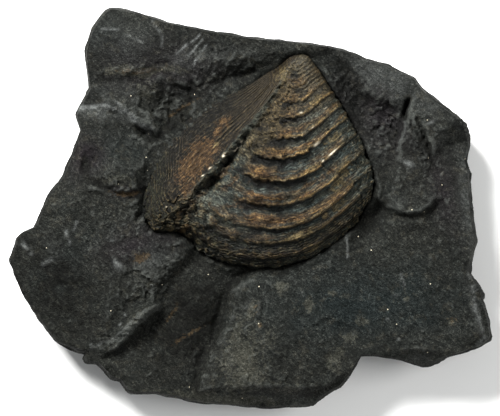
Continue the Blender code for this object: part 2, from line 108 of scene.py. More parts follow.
# Scarps, where a bed is broken off along a line: its points, with the low side on the right of the way
# they run, the drop, half the width of the break, and how far off the drop has died away.
SCARPS = (
    (((-40.5, 22), (-34.1, 22.4), (-28.6, 22), (-25.1, 18.9), (-22.8, 16.6)), 1.9, 1.3, 12),
    (((-38.5, 30), (-33.6, 30.3), (-23.3, 31.7), (-18.7, 32.2)), 1, 1.8, 8),
    (((-11.8, 28), (-10.2, 29.9), (-6.7, 31.2), (-1.4, 32.6), (3.9, 34.5), (7.8, 34.9)), 1.1, 2.4, 6),
    (((17, 34.6), (20.5, 32.6), (25, 28.8), (27.2, 24.8), (28.7, 17.9)), 1.5, 2, 6),
    (((27.6, 25), (30.1, 23.6), (33.4, 23.2), (35.9, 24.5)), 1, 1.3, 6),
    (((37.1, 25.4), (34.8, 19.8), (33.8, 16)), 1.9, 0.5, 7),
    (((33, 11), (31.8, 5), (30.6, 0.7)), 1.6, 1.6, 7),
    (((30.6, 0.7), (34.2, -1.6), (39, -1.7), (41.6, 0.7)), 1.5, 0.8, 14),
    (((-22.4, -22.6), (-21, -18.9), (-19, -15.4), (-16.4, -12.5), (-13.6, -9.7)), 2.6, 2.2, 10),
    (((-38.4, -35.5), (-32.9, -32.7), (-28.3, -29.9), (-24.4, -27.6), (-21.7, -25.3)), 1.7, 1.1, 10),
    (((0, -14.8), (-4.6, -18.9), (-6.6, -25.8), (-7.8, -32.7), (-10.8, -39.6), (-12.9, -43)), 1.5, 1.9,
      8))
# Ridges and grooves that follow a line: its points, half width, height.
WELTS = (
    (((-38.3, -34.4), (-32.9, -31.6), (-29.0, -28.1), (-24.9, -25.3), (-21.8, -23.0)), 1.9, 2.1),
    (((-36.5, -29.5), (-31.5, -26.0), (-27.5, -22.5), (-25.0, -19.5)), 2.6, -0.9),
    (((38.6, 20.5), (42.2, 9.8)), 0.9, -1.2),
    (((2.5, -18.9), (3.0, -23.5), (2.5, -25.8), (5.5, -31.5)), 0.9, -0.4),
    (((-34.5, 5.2), (-31.0, 3.4), (-25.0, 3.9)), 0.8, -0.5),
)
# Lumps and dents that only the finer slab has: centre, half length, half width, turn in degrees, height.
KNOBS = (
    ((-26.6, -26.6), 6, 1.9, 40, 1.5), ((-31.5, -30.8), 5, 1.6, 34, 1),
    ((-23.6, -23.4), 1.5, 1.2, 0, 1.1), ((-26, -25.6), 1.2, 0.9, 10, -1.1),
    ((-28.4, -27.4), 1.5, 1, 20, 0.9), ((-30, -29.4), 1, 0.9, 0, -0.9),
    ((-32.6, -31.2), 1.3, 0.9, 30, 0.8), ((-24.6, -24.2), 3.4, 2.4, 40, 1.3),
    ((-23.4, 16.4), 2.8, 1.7, -20, -1), ((38.6, -3.2), 5, 2.2, 15, 0.8), ((-20.5, 29.5), 3, 2, 40, 0.8))
GRAIN = ((11.0, 0.55), (4.2, 0.26))           # size and height of the slab's uneven breaks

# ---- slab: finer breaks --------------------------------------------------------------------------------
SLAB_SPACING = 0.35         # spacing of the upper face's vertices
SHEET_HALF_SIZE = (57.0, 47.5)          # half the size of the sheet that the upper face is cut from
RIM_SHARE, RIM_LEVEL = 0.982, 15.0      # the rim's size against the outline's, and its usual level
RIM_FADE = 0.6              # the finer breaks die away from this far inside the rim to as far outside
# How far places are moved so that edges and patches don't run too smoothly, and how wide those moves are.
WIDE_SWAY, FINE_SWAY = (1.0, 7.0), (0.3, 2.0)
SIDE_BREAKS = ((16.0, 0.9, 0.010), (3.0, 1.6, 0.007))   # length, thickness and bite of the breaks
SIDE_BIAS = 0.25            # how much more those breaks bite in than they stand out
SLAB_BLURS = (14, 160)      # steps of blurring against which an edge stands proud and a hollow lies low
BED_STEP = 0.20             # height of the low steps from one bed to the next on the upper face
SIDE_ROWS = 18              # rows of faces from the upper edge to the underside
SIDE_FADE = 0.55            # the share of the upper face's marks that each row keeps from the one above
CHIP_SIZE, CHIP_TILT = 3.0, 0.09        # hackly chips: width, and rise per millimetre across one
SCALE_SIZE, SCALE_TILT = 1.1, 0.15     # the finer chips inside them
CREVICE_WIDTH, CREVICE_DEPTH = 0.5, 0.6    # the gap that the preparer's needle left round the shell
SHELL_SOCKET = 11.2         # level of the slab below the shell
# Shale still laps over the shell's hinge edge: the growth it starts at, the places across where it ends on
# the shell and where it is level with it outside, and how far it sinks below the shell where it ends.
LAP_START, LAP_END, LAP_REACH, LAP_SINK = (0.30, 0.42), (-0.52, -0.62), (-2.2, -1.1), 1.5
LAP_FADE, LAP_PROUD = (1.08, 0.98), 0.2       # the growth it dies away at, and how proud it stands
# Where the break is roughest: centre, half length, half width, turn in degrees, how rough.
ROUGH_PATCHES = (
    ((-19, 23), 9, 5, -25, 2.4), ((-9, 30.5), 13, 5, 24, 0.9), ((-8, 36.5), 10, 4, -8, 0.9),
    ((24, 24), 12, 5, -62, 1.6), ((31, 18), 7, 5, -75, 2.4), ((-20, -14.5), 7, 5.5, 50, 1.6),
    ((-26, -20), 6, 4.5, 60, 1.8), ((-28, -27.5), 10, 3.2, 33, 4), ((-28, 4.5), 8, 2.2, 0, 1.6),
    ((-31, 21.5), 9, 1.8, -5, 0.9), ((-26, 16.5), 4, 3, -30, 2.2), ((1, -35), 8, 7, 70, 0.8),
    ((39, 15), 9, 2.6, -68, 1.6), ((-24, -3), 4, 5, 0, 1.2), ((-31, 31.5), 10, 2, 4, 1),
    ((34.5, 28.5), 13, 4.5, -32, -0.6), ((-28, 38.5), 12, 6, -12, -0.8), ((-31, 26.5), 8, 3.5, 6, -0.9),
    ((-42, -16), 14, 9, 60, -0.3), ((28, -22), 24, 12, 0, -0.3))
# Edges of thin flakes that have sprung off the face: points, with the low side on the right of the way
# they run, the drop, half the width of the break, and how far off the drop has died away.
SPALLS = (
    (((-19.6, 27.3), (-20.3, 24.3), (-22.6, 22), (-25.8, 23.2), (-26, 25.6)), 0.9, 0.35, 3.2),
    (((-18, 28.5), (-14.3, 27.3), (-13.1, 25), (-14.3, 22.5), (-17.3, 20.2), (-20.3, 17.9)), 1.1, 0.5,
      3.6),
    (((-14.5, 30.6), (-12.4, 28), (-8.6, 29.4), (-4, 30.2), (0, 32.2)), 0.6, 0.5, 3),
    (((-31.3, -12.5), (-29.7, -15.2), (-26, -14.1)), 0.6, 0.25, 2.5),
    (((-27.9, -24.9), (-29, -22.3), (-29.9, -18.9), (-30.2, -15.2)), 0.5, 0.4, 3),
    (((-24.9, -15.2), (-20.3, -17.7), (-21.4, -21.7), (-24.9, -23.5)), 0.4, 0.4, 2.5),
    (((-28.3, -12.5), (-23.3, -10.2), (-18.7, -8.5), (-15, -7.4)), 0.4, 0.7, 4),
    (((-25.5, -25.4), (-21.5, -22.2), (-19.8, -24), (-22.5, -27)), 0.8, 0.4, 2.5),
    (((-39.5, 13.5), (-36, 15.5), (-33.5, 12), (-34, 6.5)), 0.3, 0.8, 3.5),
    (((-36, 3.8), (-31, 2.6), (-26.5, 3), (-23.5, 4.6)), 0.7, 0.5, 3.5),
    (((36, 22.5), (40, 15.6), (42.6, 9), (41.6, 8), (38.5, 14.5), (36.8, 19)), 0.4, 0.8, 2.2),
    (((43.2, 25.5), (45.5, 23), (46.6, 14.5), (48.5, 10)), 0.4, 0.6, 3.5),
    (((28.4, 6.6), (29.2, 0.9), (31.6, -1.4), (37.2, -2.5), (40.5, -0.6)), 0.7, 0.4, 5),
    (((16, 36.2), (20.5, 33.6), (24.5, 30.6), (28, 24.6)), 0.5, 0.6, 3),
    (((-0.8, -20.3), (1.2, -22), (0.6, -25.4), (-1.4, -27.5)), 0.5, 0.25, 2),
    (((14, -27), (18, -25.5), (22, -27.5)), 0.3, 0.4, 3),
    (((-12, -20), (-16, -24), (-18, -29)), 0.5, 0.4, 3))
# Scratches and bruised edges that show pale, and painted highlights along lit edges: points, half width,
# how pale, and how deep.
PALE_LINES = (
    (((-15.4, 35.9), (-12, 39.3)), 0.2, 1.1, 0.1), (((-13.4, 33.5), (-10.6, 37.2)), 0.2, 1.2, 0.1),
    (((-14.3, 34.7), (-11.3, 38.4)), 0.18, 1, 0.1), (((-17, 34.5), (-14, 37)), 0.2, 0.6, 0.1),
    (((-34.3, 40.9), (-29.9, 40.7)), 0.25, 0.7, 0.1),
    (((-22.6, 42.7), (-20.9, 39.5), (-20.7, 36.8)), 0.3, 0.55, 0.1),
    (((-29, 39.5), (-25.6, 38)), 0.25, 0.45, 0.1), (((-43, -5.3), (-40.9, -9)), 0.35, 0.6, 0),
    (((-40.5, -3.5), (-41.2, -5.5)), 0.3, 0.5, 0), (((-51.9, -8.3), (-50.2, -10.6)), 0.45, 0.6, 0),
    (((-48.1, -12.7), (-46, -11.5)), 0.45, 0.55, 0), (((-32.5, -7.1), (-30.5, -7.4)), 0.3, 0.5, 0),
    (((22, -5.9), (22.2, -8.5), (22, -11.2)), 0.25, 0.6, -0.2),
    (((34.4, -15.2), (35.3, -17.8)), 0.2, 0.5, 0),
    # painted highlight along the ledge's edge, in this and the next two lines
    (((-40.6, 22), (-38.4, 22.7), (-34.3, 23), (-30.2, 21.8), (-28.6, 22)), 0.4, 1.1, 0),
    (((-31.4, 23.6), (-29.2, 22.2), (-27.4, 21.6), (-25.2, 19.2), (-23.4, 18.2)), 0.3, 1, 0),
    (((-28.6, 22), (-26.7, 19.7), (-24.9, 18.5), (-24, 17)), 0.4, 1.1, 0),
    # painted highlight along the lower right edge
    (((49.9, -15), (50.6, -18.5), (51.2, -23), (53.2, -28)), 0.4, 0.6, 0),
    # painted highlight on the side of the ridge that faces the key lamp
    (((-37, -33.2), (-32.6, -30.4), (-28.4, -26.8), (-25.4, -24.4)), 0.3, 0.25, 0),
    (((53.8, -29.6), (50.2, -32), (47, -33.2)), 0.3, 0.4, 0), (((36.4, 25), (35.4, 20.6)), 0.5, 0, 1.5),
    (((35.2, 20), (34.9, 17), (33.9, 14.9)), 0.25, 0.45, 0), (((-26, -17), (-23, -19.5)), 0.2, 0.3, 0.2))
# Dark seams, partly filled with dirt and partly painted shadow at the foot of a step: points, half width,
# how dark, and how deep.
DARK_LINES = (
    (((-1.4, -14.5), (-4.9, -18.5), (-6.6, -21.5), (-8.1, -26), (-8.6, -30), (-11.4, -35), (-12.4, -39),
      (-13, -42)), 1, 1.5, 0.6),
    (((-13.4, 27.8), (-14.2, 24.5), (-15.8, 21.2), (-19.5, 18), (-23, 15.8)), 1.3, 0.9, 0.6),
    # painted shadow along the lower edge of the boss
    (((-38.5, 12), (-37, 7), (-33, 4), (-28, 3), (-24.4, 4.4)), 0.8, 0.9, 0.5),
    (((36, 24.5), (35.3, 20.5), (34.6, 16)), 0.5, 1, 0.6))

# Patches of colour on the slab. For each mark: the size of its broken edges, the shift of their noise, and
# for each patch its centre, half length, half width, turn of the long axis in degrees, and strength.
SLAB_PATCHES = {
    # pale flecks and scratches, with painted highlights along the ledge
    "pale": (1.2, 1, (
        ((-30.6, -13.2), 1.6, 1, -50, 0.9), ((36.2, 10.3), 1.8, 0.8, -35, 0.9),
        ((31.1, -25.1), 0.5, 0.4, 0, 0.8), ((34, -30.4), 0.5, 0.4, 0, 0.9),
        ((41.5, 19.4), 1.4, 0.5, 30, 0.5), ((-32.5, 22.4), 5, 0.7, -4, 0.4),
        ((-26.8, 20), 3, 0.8, -38, 0.5), ((50.2, -15.4), 0.8, 0.6, 0, 0.6),
        ((33.6, -19.8), 0.6, 0.4, 0, 0.4), ((-24.8, 32), 7, 0.5, 1, 0.4),
        ((-30.2, -26.3), 0.6, 0.3, 35, 0.8), ((-28.5, -24.2), 0.4, 0.3, 0, 0.8),
        ((-36.6, -32), 0.4, 0.3, 0, 0.7))),
    # bare_and_lit: paler bare rock, and painted light on bevels and hollows that face away from the lamps
    # and on the face at the top right
    "bare_and_lit": (9, 5, (
        ((33.5, 27.8), 15, 4.2, -30, 0.85), ((49.6, 3), 16, 2.4, -84, 0.8), ((-6, 35), 14, 2.6, 2, 0.3),
        ((46.5, 14), 8, 2.6, -60, 0.3), ((-29, 38.5), 11, 6.5, -12, 0.35),
        ((-31.5, 25.5), 8, 3.6, 6, 0.45), ((-16, 33), 5, 3, 50, 0.35), ((34, 2), 5, 4, 0, 0.25),
        ((-32, 21), 8.5, 1.6, -8, 0.8), ((51.6, -24.5), 7.5, 0.9, -70, 0.5), ((-22, -12), 7, 4, 40, 0.3),
        ((-46, -9), 7, 3.5, -55, 0.25), ((0, -44.3), 22, 1.6, -2, 0.45), ((38, -35.2), 10, 1.4, 0, 0.45),
        ((-27.6, -27.4), 7, 1.5, 38, 0.35), ((-0.8, -22.8), 2.8, 1.2, 65, 0.55),
        ((-5, -35.5), 5, 0.9, 78, 0.35), ((-0.6, -40), 2.4, 1.6, 60, 0.3),
        ((23, -28.6), 1.8, 1.4, 45, 0.35))),
    "warm": (7, 3, (
        ((-38, 11.5), 7, 5, 60, 1), ((-20, 32), 20, 9, 0, 0.6), ((-28, 4), 7, 2, 0, 0.8),
        ((-26, -8), 12, 6, 20, 0.7), ((28, 22), 16, 8, -50, 0.8), ((44, 4), 14, 5, -75, 0.6))),
    "green": (9, 9, (
        ((26, -22), 30, 12, 0, 0.9), ((-29, 13), 8, 8, 0, 0.3), ((31.5, 19.5), 5, 4, 0, 0.5),
        ((-44, -14), 14, 8, 60, 0.4), ((-34, 40), 8, 5, 0, 0.4))),
    "rust": (1.6, 4, (
        ((-25.2, 31.8), 8, 0.9, 2, 0.6), ((-25, -11.7), 2.6, 1.2, 15, 0.8),
        ((-28.6, 3.6), 4.6, 0.8, 0, 0.6), ((-14.8, -29.2), 5.5, 0.7, 30, 0.5),
        ((-16, 22.6), 5, 0.6, 32, 0.6), ((2, -26.9), 0.6, 0.9, 0, 0.8), ((0.8, -23.3), 2.2, 1.4, 60, 0.4),
        ((46.6, -26), 1.6, 1.2, 0, 0.3), ((-18, -24.5), 4, 0.7, 55, 0.4))),
    "tan": (3, 7, (
        ((-2, -35.6), 9.5, 6.5, 78, 0.85), ((13.5, -22), 3, 1.4, -60, 0.8),
        ((22.5, -30.2), 2.8, 1.7, 45, 0.9), ((19.5, -35), 3.8, 1.9, 60, 0.8),
        ((25.3, -25.8), 2.8, 1.7, 0, 0.6), ((46.6, -26), 1.4, 1, 0, 1), ((35.8, -21), 0.9, 0.7, 0, 0.9),
        ((18.2, -19.6), 1.4, 1, 0, 0.7), ((6.4, -18.2), 2.2, 1.6, 30, 0.8),
        ((-0.3, -23.6), 3.4, 1.4, 65, 1.1), ((-3, -28.5), 4, 1.6, 80, 0.7),
        ((-24.5, 31.7), 10.5, 1.5, 0, 1.4), ((-24, 27), 5, 4, 0, 0.4), ((-8, -43.9), 20, 2, -4, 0.8),
        ((8, -41), 5, 2.4, 0, 0.5), ((4.5, -29.5), 3, 4, 0, 0.45), ((-30, 6), 6, 3, 0, 0.35),
        ((-26, -25.5), 6, 2.4, 38, 0.4))),
    # dirt_and_shade: dark patches, partly real dirt and partly painted shade in scoops and hollows and on
    # lumps that face the key lamp
    "dirt_and_shade": (3, 8, (
        ((-14.5, -26), 16, 8.5, 66, 1.4), ((-44, -18), 18, 11, -60, 1), ((-29, 9), 7, 5, 0, 0.3),
        ((38.5, 14), 9, 3, -68, 0.35), ((-38, 3), 8, 3, 60, 0.3), ((-38, 9.5), 5.5, 2.6, 62, 0.75),
        ((-8.5, 27.4), 7, 2, 32, 0.25), ((-16, 23.4), 6, 2.6, 36, 0.2), ((-18, 21), 6.5, 3.4, -35, 0.45),
        ((22, 26.6), 10, 2.6, -58, 0.15), ((31.5, 20), 4, 3, -50, 0.1), ((31, 18.5), 6.5, 4, -75, 0.2),
        ((27.4, -3), 7, 3.2, 62, 0.8), ((4, -14), 14, 1.8, 8, 0.4), ((-12, -12), 5, 2.6, -30, 0.5),
        ((40.6, 13), 6.5, 1, -68, 0.8), ((53.4, -31.6), 3, 1.4, 30, 0.6),
        ((52.9, -18.6), 3, 0.8, -60, 0.5), ((-24.6, 17), 4, 2, -30, 0.4), ((29.5, 22), 4, 2.4, 0, 0.3),
        ((34.6, 22), 3, 0.6, 80, 0.8), ((-22, -27.4), 5.5, 1.2, 35, 0.25), ((36, -4.6), 5, 1.2, 5, 0.5)))}

# ---- shell: large forms, close to those of the frame's shell -------------------------------------------
UMBO = (11.0, 35.2)         # where the beak lies
VALVE_REACH = 48.0          # from the beak straight down to the lower margin
VALVE_INFLATION = 11.0      # height of the crown above the margin
MARGIN_LEVEL = 14.0         # height of the shell's margin above the slab's underside
VALVE_BED = 10.6            # height of the shell's flat underside, sunk in the slab
# Growth runs from 0 at the beak to 1 at the margin. Directions from the beak are in degrees from straight
# down, positive to the front (right). Each pair is a growth and a direction.
FRONT_EDGE = (
    (0.0, 104), (0.04, 88), (0.08, 66), (0.17, 51), (0.25, 45.5), (0.41, 41), (0.6, 37), (0.78, 33.4),
    (0.85, 31.7), (0.91, 28.9), (0.95, 25.3), (1.0, 20))
CARINA = (
    (0.0, -42), (0.1, -36.5), (0.21, -33), (0.3, -34), (0.44, -35.5), (0.7, -37.2), (0.8, -38.3),
    (1.0, -39.2))
HINGE_EDGE = (
    (0.0, -104), (0.04, -84), (0.08, -67), (0.12, -61), (0.2, -59.8), (0.3, -58.6), (0.5, -60.6),
    (0.6, -61.6), (0.75, -58.5), (0.88, -54.3), (1.0, -47.7))
# Reach of one growth line in each direction, as a share of its reach straight down.
GROWTH_LINE = (
    (-104, 1.0), (-50, 0.97), (-47.7, 1.005), (-45, 1.058), (-41, 1.1), (-38.7, 1.095), (-35, 1.04),
    (-32, 1.035), (-25, 1.06), (-11, 1.045), (0, 1.0), (9, 0.935), (16, 0.882), (21, 0.847), (27, 0.822),
    (34, 0.81), (45, 0.82), (104, 0.85))
CROWN_PLACE, CROWN_FULLNESS = 0.70, 0.58      # how far from the beak the crown lies, and how full it is
CARINA_AT_MARGIN = 0.10     # height that the carina keeps at the margin, as a share of the inflation
FRONT_TURN, FRONT_STEEPNESS = 2.7, 0.62       # how late and how steeply the flank turns down in front
AREA_FALL = 1.1             # how hollow the area is between carina and hinge edge
CARINA_RIDGE = (0.0, 0.8, 0.035)              # place across, height and half width of the carina's ridge,
CARINA_GROOVE = (0.04, 1.9, 0.026)            # of the groove in front of it
HIND_SAG = (0.2, 0.7, 0.13)                   # and of the sag that the ribs end in
FIRST_RIB_START = 0.08      # growth where the slope up to the first crest starts
RIB_DROP = 0.012            # growth over which a rib falls away below its crest
# Place across where the ribs start behind, for each growth, and how far a rib takes to rise from its end.
RIB_ENDS = (
    (0.0, 0.06), (0.2, 0.10), (0.294, 0.17), (0.39, 0.19), (0.48, 0.13), (0.6, 0.12), (0.7, 0.15),
    (0.8, 0.26), (0.9, 0.32), (1.0, 0.3))
RIB_END_LENGTH = 0.1
LUMPY_RIBS = (0.36, 0.60)   # across here the ribs turn from broad and lumpy to thin and sharp
RIB_CRESTS = (0.152, 0.225, 0.294, 0.39, 0.482, 0.59, 0.70, 0.808, 0.880, 0.945)
RIB_HEIGHTS = (0.25, 0.45, 0.6, 0.8, 0.95, 1.05, 1.15, 1.05, 0.75, 0.6)

# ---- shell: finer relief -------------------------------------------------------------------------------
GROWTH_ROWS, ACROSS_COLUMNS = 310, 290
SHELL_BLURS = (12, 90)      # steps of blurring, as for the slab
SHELL_MIDDLE = (3.0, 8.0)   # the ragged edge is drawn in towards here
BEAK_GROWTH = 0.003
HIGHEST_CROWN, CROWN_EASE = 24.6, 1.0    # lumps are eased off from this level, to at most this much more
# A crack across the front of the ribs: growth and place across of its points.
CRACK = ((0.45, 0.52), (0.5, 0.57), (0.61, 0.67), (0.69, 0.757), (0.81, 0.86), (0.89, 0.907), (0.95, 0.94))
CRACK_SHIFT, CRACK_DROP = 0.012, 0.28    # how far the ribs beyond the crack are set back and dropped
RIB_SHINE = (0.25, 0.45, 0.65, 0.8, 0.95, 0.9, 0.75, 0.5, 0.15, 0.05)    # how worn each crest is, and how strong its painted highlight
AREA_STRIAE = 13            # fine ribs that fan out from the beak over the area, before they split in two
STRIA_HEIGHT = 0.20
GROWTH_STRIA, GROWTH_STRIA_HEIGHT = 0.0125, 0.08
BEAK_WRINKLE = 0.024        # growth between the wrinkles round the beak
HOLE, HOLE_DEPTH = ((17.7, 17.9), 0.45, 0.4), 0.8    # a small hole in one rib: centre and half sizes; depth
CRACK_DEPTH, BEAK_WRINKLE_HEIGHT, HIND_LEDGE = 0.35, 0.17, 1.3
FLAKE_HEIGHTS = (0.55, 0.6, 0.35)             # of the flaked front edge, hind end and lower margin
GAPE_END = (0.72, 0.8)      # growth at which the gape in front of the carina closes
EDGE_DRAWN_IN, CARINA_LOOSENESS = 0.016, 0.5  # raggedness of the edge (a share) and of the broken carina
LOWEST_MARGIN = MARGIN_LEVEL - 0.6
FLANK_WIDTH, AREA_WIDTH = 34.0, 16.0          # across the ribs' flank and across the area, for streaks
STREAK_STRETCH = 5.0        # how many times as long as wide the streaks are
# Patches of colour on the shell, given in the same way as the slab's.
SHELL_PATCHES = {
    "rust": (2.2, 2, (
        ((-12.5, 11), 7, 3.4, 52, 1.3), ((-7, 18.5), 4, 1.6, 52, 0.7), ((-14, 4.5), 4, 2, 55, 0.9),
        ((2, 6.5), 4.5, 1.8, -10, 0.8), ((0, 1.2), 5, 2, -5, 0.9), ((4, -3), 5.5, 1.6, 5, 0.75),
        ((17, -2), 1.6, 1.2, 40, 0.7), ((-5, 5.5), 4, 1.2, 45, 1), ((-16, -1), 3, 1.4, 50, 0.5),
        ((13.5, 5.5), 3.5, 1.2, 25, 0.5), ((4, 12), 3, 1.2, 10, 0.6), ((8, 17), 2.4, 1, 10, 0.6),
        ((18, 8), 3.5, 1.2, 35, 0.5), ((-7.6, 7.4), 5, 1.3, 40, 1.1), ((-12, 2.4), 3.6, 1, 44, 0.9),
        ((9, 25), 2, 3, 0, 0.3), ((-4, 0.6), 3, 1.2, 0, 0.5), ((-15.8, -5.2), 3, 1, 30, 0.7))),
    "crust": (1.4, 8, (
        ((10.6, -6.4), 3.4, 1.1, 12, 0.9), ((13.6, -5.2), 1.6, 0.8, 35, 0.8),
        ((17, -1.8), 1.2, 0.8, 30, 0.6), ((14.5, -9.5), 3, 0.8, 28, 0.5), ((-8, 14.5), 2, 0.6, 50, 0.4),
        ((7, 30.5), 3, 2, 60, 0.5), ((20.4, 7), 5, 2, 52, 0.75), ((18.5, 15.5), 4, 1.2, 45, 0.6),
        ((19.8, 0.6), 3, 1.2, 50, 0.6), ((14, 9), 3, 1, 30, 0.45), ((15, 24.5), 3, 1.4, 50, 0.6))),
    "patina": (2, 6, (
        ((-8.8, 2), 4.4, 2.4, 30, 1.1), ((-5.6, 6), 2, 1.4, 40, 0.7), ((-10.6, -2.4), 3.4, 1.8, -20, 0.8),
        ((-3, 3.4), 1.6, 1, 0, 0.4), ((17, 12), 4, 2.4, 30, 0.4), ((19, -0.5), 3, 1.6, 40, 0.4),
        ((14, 21), 3, 1, 30, 0.4), ((-4.5, 12.6), 1.4, 0.6, 40, 0.6))),
    "glint": (0.6, 9, (
        ((15, 14.6), 1, 0.36, 38, 1.3), ((18.6, 12.6), 1.7, 0.24, 42, 1.3),
        ((16.4, 10.7), 0.3, 0.22, 30, 0.9), ((11.4, 21.7), 0.5, 0.2, 5, 0.7),
        ((-6.1, 12.1), 0.55, 0.4, 60, 1), ((-3.6, 13.4), 0.8, 0.2, 30, 0.8),
        ((-2.2, 15.2), 0.7, 0.18, 30, 0.6), ((-11, 7.4), 0.5, 0.2, 40, 0.6),
        ((-9.4, 9.2), 0.6, 0.16, 40, 0.4), ((22.2, 20.1), 0.3, 0.2, 0, 0.5),
        ((-14.2, -8.1), 0.25, 0.2, 0, 0.8), ((-19.4, 0.2), 0.25, 0.2, 0, 0.4),
        ((14, 18.3), 0.7, 0.15, 35, 0.5), ((17, 22.8), 0.6, 0.14, 35, 0.4),
        ((-16.8, -4.6), 0.9, 0.3, 20, 0.3))),
    "soot": (1.6, 25, (
        ((6.9, 10.4), 4.8, 1.4, 8, 1.5), ((9.8, 5.8), 4.6, 1.6, 14, 1.5),
        ((4.8, 14.4), 4.4, 1.3, 10, 1.4), ((3.8, 1.7), 5.2, 1.3, 2, 1.2), ((8, -2.1), 5.2, 1, 10, 0.9),
        ((1.5, 11), 2.4, 1.8, 0, 1.2), ((2.6, 18.2), 3, 1.2, 20, 1.1), ((-2, 8.6), 3.4, 1.2, 0, 1),
        ((-9, -4.6), 4, 1.3, -15, 0.9), ((0, -6.6), 7, 1.1, -4, 0.9), ((-14.6, 0.4), 3.6, 1.3, 42, 1.2),
        ((13, -2.4), 3, 1, 25, 0.7)))}
# Lumps on the ribs: centre, half length, half width, turn in degrees, height.
SHELL_BOSSES = (
    ((-5.3, -2.3), 1.7, 1.6, 0, 0.7), ((17, -1.6), 1.3, 1, 30, 0.5), ((12.6, -4.4), 1.5, 1, 20, 0.4),
    ((3.2, 8.2), 1.6, 1, 0, 0.4), ((-13.8, -3.6), 1.6, 1, -20, 0.6), ((2.6, 21.7), 1.5, 1, 20, 0.9),
    ((6, 25.7), 1.4, 1, 60, 0.8), ((3.9, 17.4), 1.8, 0.9, 10, 0.8), ((7.2, 20), 1.3, 0.9, 0, 0.7),
    ((1.2, 19.4), 1, 0.8, 0, 0.7), ((-0.4, 14.7), 1.5, 0.9, 40, 0.7), ((7.5, 29), 1.1, 0.8, 70, 0.6),
    ((-17.6, -6.2), 1.8, 1, 20, 0.6), ((-15.4, -4.4), 1.4, 0.8, 50, 0.5))

# ---- lamps and camera, in metres and watts -------------------------------------------------------------
# Each lamp: its name, place, size and power.
KEY_LAMP = ("key", (-0.34, 0.48, 0.52), 0.26, 21.0)
FILL_LAMP = ("fill", (0.70, 0.05, 0.60), 0.5, 5.0)
SKY_COLOUR, SKY_STRENGTH = "#F4F6F8", 0.36
LAMP_TARGET = (0.0, 0.0, 0.01)
CAMERA_PLACE = (-0.00026, -0.00003, 1.3)
SENSOR_WIDTH = 36.0         # in millimetres
SEEN_WIDTH, SEEN_LEVEL = 0.115, 0.012         # the width that fills the picture, at this level

# ---- small tools ---------------------------------------------------------------------------------------
def smooth_curve(values, pairs):
    """A smooth curve through (position, value) pairs, read at the given positions."""
    at = np.array([pair[0] for pair in pairs], float)
    value = np.array([pair[1] for pair in pairs], float)
    slope = np.gradient(value, at)
    values = np.clip(values, at[0], at[-1])
    cell = np.clip(np.searchsorted(at, values) - 1, 0, len(at) - 2)
    width = at[cell + 1] - at[cell]
    t = (values - at[cell]) / width
    start = (1 + 2 * t) * (1 - t) ** 2 * value[cell] + t * (1 - t) ** 2 * width * slope[cell]
    end = t * t * (3 - 2 * t) * value[cell + 1] + t * t * (t - 1) * width * slope[cell + 1]
    return start + end


def smooth_step(low, high, values):
    """0 below low, 1 above high, and an eased rise between."""
    t = np.clip((values - low) / (high - low), 0.0, 1.0)
    return t * t * (3 - 2 * t)


def bell(values, centre, width):
    """1 at the centre, dying away in a bell shape on both sides."""
    return np.exp(-((values - centre) / width) ** 2)


def distance_to_line(x, y, points):
    """Distance of each (x, y) to the open line through points."""
    nearest = np.full(np.shape(x), np.inf)
    for (ax, ay), (bx, by) in zip(points, points[1:]):
        run_x, run_y = bx - ax, by - ay
        along = np.clip(((x - ax) * run_x + (y - ay) * run_y) / (run_x ** 2 + run_y ** 2), 0, 1)
        nearest = np.minimum(nearest, np.hypot(x - ax - along * run_x, y - ay - along * run_y))
    return nearest


def depth_inside(x, y, corners):
    """Distance to the edge of a patch, positive inside it and negative outside."""
    inside = np.zeros(np.shape(x), bool)
    for (ax, ay), (bx, by) in zip(corners, corners[1:] + corners[:1]):
        if ay != by:
            inside ^= ((ay > y) != (by > y)) & (x < (bx - ax) * (y - ay) / (by - ay) + ax)
    edge = distance_to_line(x, y, corners + corners[:1])
    return np.where(inside, edge, -edge)


def distance_to_right(x, y, points):
    """Distance to an open line, positive on the right of the way it runs, and how far past its ends."""
    nearest, signed = np.full(np.shape(x), np.inf), np.zeros(np.shape(x))
    past_line = np.zeros(np.shape(x))
    for place, ((ax, ay), (bx, by)) in enumerate(zip(points, points[1:])):
        length = math.hypot(bx - ax, by - ay)
        along = ((x - ax) * (bx - ax) + (y - ay) * (by - ay)) / length
        right = ((x - ax) * (by - ay) - (y - ay) * (bx - ax)) / length
        before, past = np.maximum(0.0, -along), np.maximum(0.0, along - length)
        past_end = before * (place == 0) + past * (place == len(points) - 2)
        away = np.hypot(right, before + past)
        beside = np.hypot(right, before + past - past_end)
        signed = np.where(away < nearest, np.copysign(beside, right), signed)
        past_line = np.where(away < nearest, past_end, past_line)
        nearest = np.minimum(nearest, away)
    return signed, past_line


def along_and_across(x, y, centre, turn):
    """Distances of each (x, y) from a centre, along and across a direction given in degrees from +X."""
    cos, sin = math.cos(math.radians(turn)), math.sin(math.radians(turn))
    return (x - centre[0]) * cos + (y - centre[1]) * sin, (y - centre[1]) * cos - (x - centre[0]) * sin


def mound(x, y, centre, half_length, half_width, turn):
    """1 at the centre of a long or round patch, falling to nothing a little past its edge."""
    along, across = along_and_across(x, y, centre, turn)
    return np.exp(-LUMP_FALL * ((along / half_length) ** 2 + (across / half_width) ** 2))


def stepped(values):
    """How far flat steps with short rises lie above or below the smooth values that they follow."""
    floor = np.floor(values)
    return floor + smooth_step(0.35, 0.65, values - floor) - values


def flat_places(x, y):
    """Points at level 0 with the given X and Y, for noise to be read at."""
    return [(px, py, 0.0) for px, py in zip(x, y)]


def noise_at(places, size, shift=0.0):
    """Smooth noise from -1 to 1 whose lumps are about size across."""
    return np.array([noise.noise(Vector(place) / size + Vector((shift, shift, shift))) for place in places])


